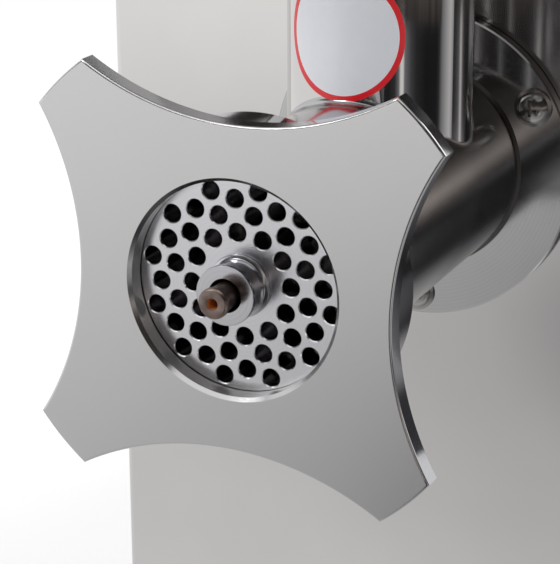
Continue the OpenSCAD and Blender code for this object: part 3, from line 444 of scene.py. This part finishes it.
# %% Stainless steels of the head
finish("steel_bright", (0.66, 0.65, 0.645), (0.60, 0.59, 0.585), (0.04, 0.07), bump=0.003,
       grain=240)
finish("steel_tube", (0.53, 0.525, 0.53), (0.44, 0.435, 0.44), (0.14, 0.2), bump=0.005,
       grain=300)
finish("steel_satin", (0.655, 0.652, 0.655), (0.64, 0.637, 0.64), (0.22, 0.26), bump=0.0)
finish("steel_rim", (0.56, 0.56, 0.575), (0.48, 0.48, 0.5), (0.06, 0.1), bump=0.004,
       stretch=(1, 0.1, 1))
finish("steel_recess", (0.68, 0.66, 0.65), (0.58, 0.56, 0.55), (0.22, 0.28), metal=0.78,
       bump=0.006, stretch=(1, 0.05, 1), grain=600)
# The chamfer is blended darker towards the top of the opening: painted shade.
finish("steel_chamfer", (0.62, 0.62, 0.625), (0.54, 0.54, 0.545), (0.14, 0.2), bump=0.004,
       painted_shade=("Z", -14, 16, (0.1, 0.1, 0.105)))
# Near-black steel for the flange's walls close to the barrel: a painted dark reflection.
finish("steel_painted_dark", (0.12, 0.115, 0.11), (0.08, 0.077, 0.075), (0.3, 0.4), bump=0.01)
# Near-black and not metal: painted shade for the gap between the ring's foot and the plate.
finish("painted_gap_shade", (0.035, 0.033, 0.032), (0.02, 0.019, 0.018), (0.5, 0.7), metal=0.0)
finish("steel_turned", (0.58, 0.58, 0.58), (0.52, 0.52, 0.52), (0.09, 0.14), bump=0.003,
       turned_about=HEAD, spun=True, **{"Anisotropic": 0.5})
finish("steel_bush", (0.62, 0.62, 0.645), (0.55, 0.55, 0.58), (0.13, 0.19), bump=0.004,
       turned_about=HEAD, spun=True, **{"Anisotropic": 0.4})
# The plate is blended darker past 0.2 mm behind its face, on its hole walls: painted shade.
finish("steel_ground", (0.74, 0.74, 0.77), (0.69, 0.69, 0.72), (0.2, 0.26), bump=0.003,
       turned_about=HEAD, painted_shade=("Y", 0.2, 0.8, (0.24, 0.225, 0.24)))
finish("steel_screw", (0.46, 0.45, 0.44), (0.34, 0.33, 0.32), (0.18, 0.26), bump=0.01,
       grain=500)
print("finishes for the head:", len(FINISHES))

# %% [markdown]
# The cabinet's front is a smooth sheet and its sides are brushed upright. Inside are
# machined shafts, the stacked sheets of the motor's core, zinc on the small fasteners,
# cast housings and lacquered copper wire, which gets a thin clear coat.

# %% Sheets and the metals inside
finish("steel_sheet", (0.735, 0.727, 0.72), (0.695, 0.687, 0.68), (0.08, 0.12), bump=0.003,
       stretch=(1, 1, 0.03), grain=1400)
finish("steel_brushed", (0.735, 0.727, 0.72), (0.69, 0.682, 0.675), (0.26, 0.32), bump=0.004,
       stretch=(1, 1, 0.02), grain=1900)
finish("steel_machined", (0.58, 0.58, 0.59), (0.46, 0.46, 0.47), (0.22, 0.36), bump=0.1,
       stretch=(1, 0.1, 1), grain=1500)
finish("steel_dark", (0.3, 0.235, 0.21), (0.17, 0.13, 0.115), (0.24, 0.4), bump=0.2,
       grain=1600, mottle=260)
finish("steel_core", (0.34, 0.36, 0.4), (0.22, 0.23, 0.26), (0.4, 0.55), bump=0.3,
       stretch=(0.02, 1, 0.02), grain=1600)
finish("steel_zinc", (0.72, 0.71, 0.64), (0.6, 0.62, 0.64), (0.25, 0.4), bump=0.08, mottle=60)
finish("cast_aluminium", (0.62, 0.63, 0.64), (0.5, 0.51, 0.52), (0.45, 0.62), bump=0.5,
       grain=700)
finish("copper", (0.68, 0.33, 0.16), (0.48, 0.2, 0.09), (0.2, 0.34), bump=0.8,
       stretch=(1, 0.05, 1), grain=900, **{"Coat Weight": 0.4, "Coat Roughness": 0.1})
print("finishes:", len(FINISHES))

# %% [markdown]
# Rubber and plastic are not metals, so their colour comes from within and their metal
# layer is off. Moulded plastic has a fine pebbled skin, and rubber a duller, coarser one.

# %% Rubber, plastic and paper
finish("rubber_black", (0.035, 0.035, 0.036), (0.022, 0.022, 0.023), (0.6, 0.78), metal=0.0,
       bump=0.3, grain=1500)
finish("seal_rubber", (0.05, 0.05, 0.05), (0.035, 0.035, 0.035), (0.5, 0.65), metal=0.0,
       bump=0.2)
finish("plastic_black", (0.045, 0.045, 0.05), (0.03, 0.03, 0.033), (0.36, 0.5), metal=0.0,
       bump=0.25, grain=2200)
finish("plastic_grey", (0.33, 0.34, 0.35), (0.27, 0.28, 0.29), (0.36, 0.5), metal=0.0,
       bump=0.25, grain=2200)
finish("plastic_white", (0.84, 0.835, 0.8), (0.78, 0.775, 0.74), (0.32, 0.46), metal=0.0,
       bump=0.12, grain=1200)
finish("plastic_green", (0.04, 0.4, 0.12), (0.03, 0.33, 0.1), (0.16, 0.26), metal=0.0,
       bump=0.05)
finish("plastic_red", (0.66, 0.035, 0.03), (0.56, 0.028, 0.025), (0.16, 0.26), metal=0.0,
       bump=0.05)
finish("label_white", (0.86, 0.865, 0.89), (0.82, 0.825, 0.85), (0.12, 0.2), metal=0.0,
       bump=0.02)
print("finishes:", len(FINISHES))

# %% [markdown]
# Three more finishes cover only part of a piece: the rust in the stud's centre hole, and
# the label's white middle and red rim. Rust is rough flakes of two browns. A label's film
# is smooth print under a thin clear coat.

# %% Mix the rust and the label's two films
rust, tree = blank_material("rust")
flakes = noise(tree, place_coords(tree), 1800.0, 4.0, 0.65)
hue = mix_colours(tree, spread(tree, flakes, 0.0, 1.0), (0.62, 0.2, 0.03), (0.2, 0.05, 0.012))
relief = add(tree, "Bump", {"Height": flakes, "Strength": 0.6, "Distance": BUMP_DEPTH})
skin = add(tree, "BsdfPrincipled", {"Base Color": hue, "Roughness": 0.85,
                                    "Normal": relief.outputs[0]})
add(tree, "OutputMaterial", {"Surface": skin.outputs[0]})


def label_film(name, light, dark):
    film, tree = blank_material(name)
    ink = mix_colours(tree, noise(tree, place_coords(tree), 300.0), light, dark)
    skin = add(tree, "BsdfPrincipled", {"Base Color": ink, "Roughness": 0.28,
                                        "Coat Weight": 0.3, "Coat Roughness": 0.08})
    add(tree, "OutputMaterial", {"Surface": skin.outputs[0]})
    return film


red_film = label_film("red_film", (0.86, 0.012, 0.02), (0.76, 0.008, 0.017))
white_film = label_film("white_film", (0.87, 0.88, 0.92), (0.83, 0.84, 0.88))
print("rust and two label films mixed")

# %% [markdown]
# ## Paint the solids
#
# The CAD record names a material slot for every solid, so each gets the finish of its
# slot. The cabinet's sides, top and rear share a slot with its smooth front, and get the
# brushed finish instead.

# %% Paint every solid with the finish of its slot
SLOT_OF = {part["node"]: part["material_slot"] for part in frame["record"]["subparts"]}
BODY_OF = {node: body for body, nodes in frame["record"]["behaviour"]["bodies"].items()
           for node in nodes}
BRUSHED = ("left_panel", "right_panel", "top_panel", "rear_panel")
for name, solid in frame["nodes"].items():
    solid.data.materials.clear()
    solid.data.materials.append(FINISHES["steel_brushed" if name in BRUSHED else SLOT_OF[name]])
print("painted", len(SLOT_OF), "solids")

# %% [markdown]
# ## From a bmesh to a finished piece
#
# Pieces are drawn in millimetres in the head's frame. This step merges doubles, turns
# the faces outwards, moves the mesh to its place, and shades it smooth with sharp edges
# where two faces meet at a steep angle. A weighted-normal modifier then keeps large flat
# faces flat beside their narrow bevels, which a plain smooth shade would not.

# %% Finish a piece
def finish_piece(name, bm, slot, body="machine", stands_for=(), crease=32.0, in_place=False,
                 look=None, others=(), picks=None):
    """others are further finishes, and picks(face) is the number of a face's finish."""
    if not in_place:
        bmesh.ops.remove_doubles(bm, verts=bm.verts, dist=1e-4)
        bmesh.ops.recalc_face_normals(bm, faces=bm.faces)
        bmesh.ops.scale(bm, vec=(MM, MM, MM), verts=bm.verts)
        bmesh.ops.translate(bm, vec=HEAD, verts=bm.verts)
    for face in bm.faces:
        face.smooth = True
        if picks is not None:
            face.material_index = int(picks(face))
    for edge in bm.edges:
        edge.smooth = (len(edge.link_faces) == 2
                       and edge.calc_face_angle(0) < math.radians(crease))
    made = object_from(name, bm, look or FINISHES[slot], *others)
    weighted = made.modifiers.new("flat_faces", "WEIGHTED_NORMAL")
    weighted.keep_sharp = True
    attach(made, body)
    if stands_for:
        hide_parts(*stands_for)
    print(name, len(made.data.polygons), "faces on", body)


print("weighted normals go on every piece")

# %% [markdown]
# Most of the head came off a lathe, so its pieces are made as a lathe makes them: half a
# section is drawn once and spun about the axis. Cylinders joined together would leave
# faces inside. The sharp edges are then found by their angle and rounded, because an edge
# without a bevel catches no light.

# %% Turn a profile about the head's axis
def turned(profile, steps=160, closed=True):
    bm = bmesh.new()
    ends = [bm.verts.new((radius, y, 0)) for radius, y in profile]
    pairs = list(zip(ends, ends[1:])) + ([(ends[-1], ends[0])] if closed else [])
    lines = [bm.edges.new(pair) for pair in pairs]
    bmesh.ops.spin(bm, geom=ends + lines, cent=(0, 0, 0), axis=(0, 1, 0), angle=math.tau,
                   steps=steps, use_merge=True)
    return bm


def round_edges(bm, offset, steeper=50.0, segments=2, where=lambda edge: True):
    sharp = [e for e in bm.edges if len(e.link_faces) == 2
             and e.calc_face_angle(0) > math.radians(steeper) and where(e)]
    bmesh.ops.bevel(bm, geom=sharp, offset=offset, offset_type="OFFSET", segments=segments,
                    profile=0.5, affect="EDGES", material=-1, clamp_overlap=True)
    return len(sharp)


def off_axis(face):
    """How far a finished face's middle is from the head's axis, in millimetres."""
    middle = face.calc_center_median() - HEAD
    return math.hypot(middle.x, middle.z) / MM


print("lathe ready")

# %% [markdown]
# ## The horned ring nut
#
# The ring nut screws onto the barrel and holds the grinding plate. Its front is a flat
# plate with four horns to grip or to knock loose, cut by four round hollows. It could be
# cut from a disc with four cylinders, but a cut leaves long thin faces that shade badly.
# We draw the outline instead, by spinning a vertex about each hollow's centre and then
# about the axis.

# %% Draw the outline
HORN_R, HOLLOW_R, WAIST_R, LIP, TURNED_BY = 72.1, 84.2, 44.8, 6.3, -1.8
HOLLOW_STEPS, HORN_STEPS = 48, 8


def in_front_view(radius, degrees, y=0.0):
    a = math.radians(degrees)
    return Vector((radius * math.cos(a), y, radius * math.sin(a)))


hollow_x = WAIST_R + HOLLOW_R
half_hollow = math.degrees(math.acos(
    (HORN_R ** 2 + hollow_x ** 2 - HOLLOW_R ** 2) / (2 * HORN_R * hollow_x)))
half_arc = math.degrees(math.asin(HORN_R * math.sin(math.radians(half_hollow)) / HOLLOW_R))
bm = bmesh.new()
tip = bm.verts.new(in_front_view(HORN_R, TURNED_BY - half_hollow, -LIP))
for quarter in range(4):
    hollow_centre = in_front_view(hollow_x, TURNED_BY + 90 * quarter, -LIP)
    for centre, sweep, steps in ((hollow_centre, -2 * half_arc, HOLLOW_STEPS),
                                 (Vector((0, -LIP, 0)), 90 - 2 * half_hollow, HORN_STEPS)):
        spun = bmesh.ops.spin(bm, geom=[tip], cent=centre, axis=(0, -1, 0),
                              angle=math.radians(sweep), steps=steps)
        tip = next(v for v in spun["geom_last"] if isinstance(v, bmesh.types.BMVert))
bmesh.ops.remove_doubles(bm, verts=bm.verts, dist=1e-3)
print("outline points:", len(bm.verts))


# %% [markdown]
# One loop now makes every wall of the ring. We pull it out and back along the horns'
# edge, in to the threaded collar, back, in again and forward through the opening, and
# bridge it to the loop that it started from. All the walls share their points, so the
# ring is one closed skin.

# %% Pull the loop through the ring's walls
OPENING_R, COLLAR_R, BORE_R, COLLAR_END = 29.6, 44.3, 41.3, 11.5
SEAT, GAP, FOOT_CUT, TAPER, HAIR = -0.05, 0.4, 0.7, 0.02, 0.001


def pull_loop(bm, loop, y, radius=None):
    out = bmesh.ops.extrude_edge_only(bm, edges=loop)["geom"]
    for vert in (g for g in out if isinstance(g, bmesh.types.BMVert)):
        if radius is not None:
            flat = Vector((vert.co.x, 0, vert.co.z)).normalized() * radius
            vert.co.x, vert.co.z = flat.x, flat.z
        vert.co.y = y
    return [g for g in out if isinstance(g, bmesh.types.BMEdge)
            and all(abs(v.co.y - y) < 1e-5 for v in g.verts)
            and (radius is None or all(abs(math.hypot(v.co.x, v.co.z) - radius) < 1e-4
                                       for v in g.verts))]


front = list(bm.edges)
loop = pull_loop(bm, front, SEAT)
for y, radius in ((SEAT, COLLAR_R), (COLLAR_END, COLLAR_R), (COLLAR_END, BORE_R),
                  (SEAT - HAIR, BORE_R), (SEAT - HAIR, OPENING_R + FOOT_CUT),
                  (SEAT - GAP, OPENING_R + TAPER), (-LIP, OPENING_R)):
    loop = pull_loop(bm, loop, y, radius)
bmesh.ops.bridge_loops(bm, edges=loop + front)
bmesh.ops.recalc_face_normals(bm, faces=bm.faces)
bm.edges.ensure_lookup_table()
print("ring walls:", len(bm.faces), "faces")


# %% [markdown]
# The ring's edges are broken by hand tools, each kind in its own way: the face's edge is
# rolled over, the opening has a plain chamfer, and the edges behind are rounded. So the
# edges are sorted before they are bevelled.

# %% Break the edges
CHAMFER = 1.0
FACE_EDGE, OPENING_EDGE, REAR_EDGE = 1, 2, 3


def sort_of(edge):
    first, second = (v.co for v in edge.verts)
    if abs(first.y - second.y) > 1e-4:
        return 0
    if abs(first.y + LIP) > 1e-3:
        return REAR_EDGE
    return OPENING_EDGE if abs(math.hypot(first.x, first.z) - OPENING_R) < 1e-2 else FACE_EDGE


for kind, size, segments in ((FACE_EDGE, 0.75, 5), (OPENING_EDGE, CHAMFER, 1),
                             (REAR_EDGE, 0.5, 4)):
    found = round_edges(bm, size, 60, segments, lambda e: sort_of(e) == kind)
    print(found, "edges rounded by", size, "mm")


# %% Give each wall its finish
def ring_look(face):
    """0 on flat faces, 1 on outer walls, 2 in the opening, 3 on its chamfer, 4 in its foot.
    The foot gets a near-black finish as painted shade for the gap at the plate.
    """
    y = (face.calc_center_median().y - HEAD.y) / MM
    if off_axis(face) < OPENING_R + CHAMFER and abs(face.normal.y) < 0.97:
        return 3 if y < -LIP + CHAMFER - 0.1 else 4 if y > SEAT - GAP else 2
    return 1 if abs(face.normal.y) < 0.6 else 0


finish_piece("ring_nut_horned", bm, "steel_satin", "ring", ["ring_nut"], picks=ring_look,
             others=[FINISHES[slot] for slot in
                     ("steel_rim", "steel_recess", "steel_chamfer", "painted_gap_shade")])

# %% [markdown]
# ## The plate's bush
#
# The bush is the plate's bearing, and the auger's stud turns in it. It is a plain turned
# part with a rim at each end and a neck between them, so a profile spun about the axis
# makes it. Its bore and mouth get the stud's dark steel, chosen by radius, as painted
# shade for the dark gap round the stud.

# %% Turn the bush
BUSH_H, BUSH_BORE_R, BUSH_MOUTH_R, BUSH_MOUTH_Y = 10.1, 4.35, 4.6, 1.0
RIM_R, NECK_R, FOOT_R, SHANK_R, SHANK_END, CONTACT = 8.2, 7.5, 8.7, 6, 7.8, -0.02
bm = turned([(BUSH_BORE_R, 1.2 - BUSH_H), (BUSH_MOUTH_R, BUSH_MOUTH_Y - BUSH_H),
             (BUSH_MOUTH_R, -BUSH_H), (RIM_R, -BUSH_H), (RIM_R, -8.5), (NECK_R, -8.2),
             (NECK_R, -1.6), (8.1, -1.3), (FOOT_R, -1.2), (FOOT_R, CONTACT),
             (SHANK_R, CONTACT), (SHANK_R, SHANK_END), (BUSH_BORE_R, SHANK_END)])
round_edges(bm, 0.35, 40, 3)
# Faces inside the bore's mouth radius get steel_dark: painted shade in the gap round the stud.
finish_piece("plate_bush_turned", bm, "steel_satin", "plate", ["plate_bush"],
             look=FINISHES["steel_bush"], others=[FINISHES["steel_dark"]],
             picks=lambda face: off_axis(face) < BUSH_MOUTH_R + 0.02)

# %% [markdown]
# ## The auger's stud
#
# The stud in the auger's nose comes out through the bush. It has a groove, a head and the
# centre hole that it was turned on. The same lathe step makes it, open at both ends of
# the profile, because those points lie on the axis.

# %% Turn the stud
STUD_OUT, STUD_R, STUD_NECK_R, GROOVE_R, HEAD_R, HOLE_R = 7.6, 3.79, 3.65, 3.45, 4.2, 1.55
tip_y = -BUSH_H - STUD_OUT
bm = turned([(0, 20), (STUD_R, 20), (STUD_R, -BUSH_H + 1.4), (STUD_NECK_R, -BUSH_H + 1.2),
             (STUD_NECK_R, tip_y + 2.9), (GROOVE_R, tip_y + 2.6), (GROOVE_R, tip_y + 2.3),
             (HEAD_R, tip_y + 1.9), (HEAD_R, tip_y + 0.6), (STUD_NECK_R, tip_y),
             (HOLE_R, tip_y), (1.4, tip_y + 5.5), (0, tip_y + 7)], closed=False)
round_edges(bm, 0.15, 30)
finish_piece("auger_stud_turned", bm, "steel_dark", "auger", ["auger_stud"], others=[rust],
             picks=lambda face: off_axis(face) < HOLE_R - 0.01)

# %% [markdown]
# ## Solids that only need smoothing
#
# Some solids have the right shape already, but their mesh is loose triangles, which
# would shade as facets. A copy of each is merged, its flat faces are joined, and it is
# shaded smooth. That is quicker than a new model and can't differ from the solid.

# %% Copy a solid, merge it and smooth it
FLAT_ANGLE = 0.8


def smoothed(node, crease=32.0, **looks):
    bm = bmesh.new()
    bm.from_mesh(frame["nodes"][node].data)
    bmesh.ops.remove_doubles(bm, verts=bm.verts, dist=2e-6)
    bmesh.ops.dissolve_limit(bm, angle_limit=math.radians(FLAT_ANGLE), verts=bm.verts,
                             edges=bm.edges)
    finish_piece(node + "_smooth", bm, SLOT_OF[node], BODY_OF[node], [node], crease, True,
                 **looks)


print("faces join where they meet at under", FLAT_ANGLE, "degrees")

# %% Smooth the curved solids that show
DARK_WALL_R = 45
smoothed("grinding_plate", look=FINISHES["steel_ground"])
smoothed("barrel", look=FINISHES["steel_tube"])
# Walls of the flange within 45 mm of the axis get the near-black steel: painted dark reflection.
smoothed("mounting_flange", look=FINISHES["steel_turned"], others=[FINISHES["steel_painted_dark"]],
         picks=lambda face: off_axis(face) < DARK_WALL_R and abs(face.normal.y) < 0.95)
smoothed("flange_screws", crease=50, look=FINISHES["steel_screw"])
for node in ("feed_tray", "front_panel", "rubber_feet", "start_button", "stop_button",
             "reset_button", "direction_rocker", "control_plate", "power_inlet",
             "panel_screws"):
    smoothed(node)

# %% [markdown]
# ## The feed throat
#
# The throat is a polished tube welded over the barrel. A boolean cut would give its
# saddle, but with ragged faces that a mirror finish shows at once. Instead four circles
# are made, two for the outer wall and two for the inner one, the lower ones are moved
# onto the barrel's round back, and neighbours are bridged.

# %% Draw the throat
THROAT_R, THROAT_WALL, THROAT_TOP, THROAT_Y, BARREL_R = 28.0, 1.6, 140.0, 101.7, 33.1
THROAT_INNER_R = THROAT_R - THROAT_WALL


def saddle_height(x):
    return math.sqrt((BARREL_R + 0.02) ** 2 - x ** 2)


bm = bmesh.new()
hoops = []
for radius, lower in ((THROAT_R, False), (THROAT_R, True), (THROAT_INNER_R, True),
                      (THROAT_INNER_R, False)):
    top_centre = Matrix.Translation((0, THROAT_Y, THROAT_TOP))
    circle = bmesh.ops.create_circle(bm, cap_ends=False, segments=192, radius=radius,
                                     matrix=top_centre)["verts"]
    if lower:
        for vert in circle:
            vert.co.z = saddle_height(vert.co.x)
    hoops.append(list({edge for vert in circle for edge in vert.link_edges}))
for first, second in zip(hoops, hoops[1:] + hoops[:1]):
    bmesh.ops.bridge_loops(bm, edges=first + second)
bmesh.ops.recalc_face_normals(bm, faces=bm.faces)
round_edges(bm, 0.3, 60, 2, lambda e: min(v.co.z for v in e.verts) > THROAT_TOP - 1)
finish_piece("feed_throat_tube", bm, "steel_bright", "machine", ["feed_throat"])

# %% [markdown]
# The throat is welded on and the weld is ground to a soft hollow. Its section runs from
# the tube's wall to the barrel's back along a curve that bends towards the corner, and
# it is smallest where the barrel falls away at the sides. A bevel would have to cross
# two separate pieces, so the weld is a piece of its own. A flat grid is the weld laid
# out straight: one way along it is the way round the saddle, the other is the section.

# %% Fill the corner at the saddle
FILLET, THINNEST, ROOT, FILLET_STEPS, SECTION_STEPS = 2.4, 0.3, 0.4, 180, 7


def on_barrel(radius, a):
    x = radius * math.cos(a)
    return Vector((x, THROAT_Y + radius * math.sin(a), saddle_height(x)))


def weld_section(a):
    reach = FILLET * (THINNEST + (1 - THINNEST) * math.sin(a) ** 2)
    corner = on_barrel(THROAT_R, a)
    up, out = corner + Vector((0, 0, reach)), on_barrel(THROAT_R + reach, a)
    bend = [up * (1 - t) ** 2 + corner * 2 * t * (1 - t) + out * t ** 2
            for t in (at / SECTION_STEPS for at in range(SECTION_STEPS + 1))]
    return bend + [on_barrel(THROAT_R - ROOT, a) - Vector((0, 0, ROOT)), up]


bm = bmesh.new()
bmesh.ops.create_grid(bm, x_segments=FILLET_STEPS, y_segments=SECTION_STEPS + 2, size=1)
for vert in bm.verts:
    section = weld_section((vert.co.x + 1) * math.pi)
    vert.co = section[round((vert.co.y + 1) / 2 * (SECTION_STEPS + 2))]
finish_piece("throat_weld", bm, "steel_bright", "machine", crease=60,
             look=FINISHES["steel_tube"])

# %% [markdown]
# ## The throat's label
#
# The label is a thin round film bent round the tube. A disc pressed onto the tube from
# the front would come out wider at its sides. So it is turned as a flat disc, and then
# each point's sideways place becomes an angle about the tube, as paper bends.

# %% Bend the label
LABEL_S, LABEL_Z, LABEL_RIM, LABEL_R, FILM = -1.8, 52.8, 17.45, 19.2, 0.28
hoop_radii = (0, 3, 6, 9, 12, 15, LABEL_RIM, LABEL_R)
bm = turned([(r, 0) for r in hoop_radii] + [(r, FILM) for r in reversed(hoop_radii)], 120,
            closed=False)
for vert in bm.verts:
    a, reach = (vert.co.x + LABEL_S) / THROAT_R, THROAT_R + FILM - vert.co.y
    vert.co = Vector((reach * math.sin(a), THROAT_Y - reach * math.cos(a),
                      LABEL_Z + vert.co.z))


def on_rim(face):
    middle = (face.calc_center_median() - HEAD) / MM
    along = THROAT_R * math.atan2(middle.x, THROAT_Y - middle.y) - LABEL_S
    return math.hypot(along, middle.z - LABEL_Z) > LABEL_RIM


finish_piece("throat_label_film", bm, SLOT_OF["throat_label"], BODY_OF["throat_label"],
             ["throat_label"], look=white_film, others=[red_film], picks=on_rim)

# %% [markdown]
# ## The pusher
#
# The pusher presses the meat down the throat: a white plastic rod with a stop disc that
# keeps it off the auger, and a round knob. Both are turned on one upright axis, so the
# lathe step is repeated for that axis.

# %% Turn the rod
ROD_Z, ROD_R, ROD_END_R, ROD_NECK_R = 58.0, 22.5, 19.5, 12
STOP_Z, STOP_DISC_R, STOP_T = 141.8, 36, 4
KNOB_Z, KNOB_R, KNOB_FOOT = 199.8, 23.0, -14.0


def turned_upright(profile, steps=128):
    bm = bmesh.new()
    ends = [bm.verts.new((radius, THROAT_Y, z)) for radius, z in profile]
    lines = [bm.edges.new(pair) for pair in zip(ends, ends[1:])]
    bmesh.ops.spin(bm, geom=ends + lines, cent=(0, THROAT_Y, 0), axis=(0, 0, 1),
                   angle=math.tau, steps=steps, use_merge=True)
    return bm


bm = turned_upright([(0, ROD_Z), (ROD_END_R, ROD_Z), (ROD_R, ROD_Z + 3), (ROD_R, STOP_Z),
                     (STOP_DISC_R, STOP_Z), (STOP_DISC_R, STOP_Z + STOP_T),
                     (16, STOP_Z + STOP_T), (ROD_NECK_R, STOP_Z + 8),
                     (ROD_NECK_R, KNOB_Z + KNOB_FOOT), (0, KNOB_Z + KNOB_FOOT)])
bmesh.ops.recalc_face_normals(bm, faces=bm.faces)
round_edges(bm, 0.8, 40, 3)
finish_piece("pusher_rod_turned", bm, "plastic_white", "pusher", ["pusher_rod"])

# %% Turn the knob
ball = [(KNOB_R * math.cos(math.radians(a)), KNOB_Z + KNOB_R * math.sin(math.radians(a)))
        for a in range(-37, 90, 4)]
foot_r = KNOB_R * math.cos(math.asin(KNOB_FOOT / KNOB_R))
bm = turned_upright([(0, KNOB_Z + KNOB_FOOT), (foot_r, KNOB_Z + KNOB_FOOT)]
                    + ball + [(0, KNOB_Z + KNOB_R)])
finish_piece("pusher_knob_turned", bm, "plastic_white", "pusher", ["pusher_knob"])

# %% [markdown]
# ## Bezels on the control plate
#
# Each button comes through a bright ring, and the rocker through a black frame. They
# hide the gap that a moving button needs. A ring is turned facing the front and then
# swung to face the right. The frame could be drawn as a box, but the same profile turned
# in only four steps gives a mitred square, which is stretched to the rocker's shape.

# %% Fit the bezels
PLATE_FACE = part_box("control_plate")[1].x
BEZEL_W, BEZEL_H, INNER_CUT, OUTER_CUT = 1.6, 1.2, 0.3, 0.5


def bezel(node, slot, gap, steps=96):
    low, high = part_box(node)
    half_y, half_z = (high.y - low.y) / 2 / MM, (high.z - low.z) / 2 / MM
    inner, outer = half_z + gap, half_z + gap + BEZEL_W
    square = steps == 4
    corner = math.sqrt(2) if square else 1
    bm = turned([(corner * r, y) for r, y in
                 ((inner, 0), (inner, -BEZEL_H + INNER_CUT), (inner + INNER_CUT, -BEZEL_H),
                  (outer - OUTER_CUT, -BEZEL_H), (outer, -BEZEL_H + OUTER_CUT),
                  (outer, 0))], steps)
    swing = (Matrix.Rotation(math.pi / 2, 4, "Z")
             @ Matrix.Rotation(math.pi / 4 * square, 4, "Y"))
    narrow = Matrix.Diagonal((1, (half_y + gap) / inner if square else 1, 1, 1))
    place = (Vector((PLATE_FACE, (low.y + high.y) / 2, (low.z + high.z) / 2)) - HEAD) / MM
    bmesh.ops.transform(bm, matrix=Matrix.Translation(place) @ narrow @ swing,
                        verts=bm.verts)
    finish_piece(node + "_bezel", bm, slot)


for button in ("start_button", "stop_button", "reset_button"):
    bezel(button, "steel_bright", 0.35)
bezel("direction_rocker", "plastic_black", 1.0, steps=4)
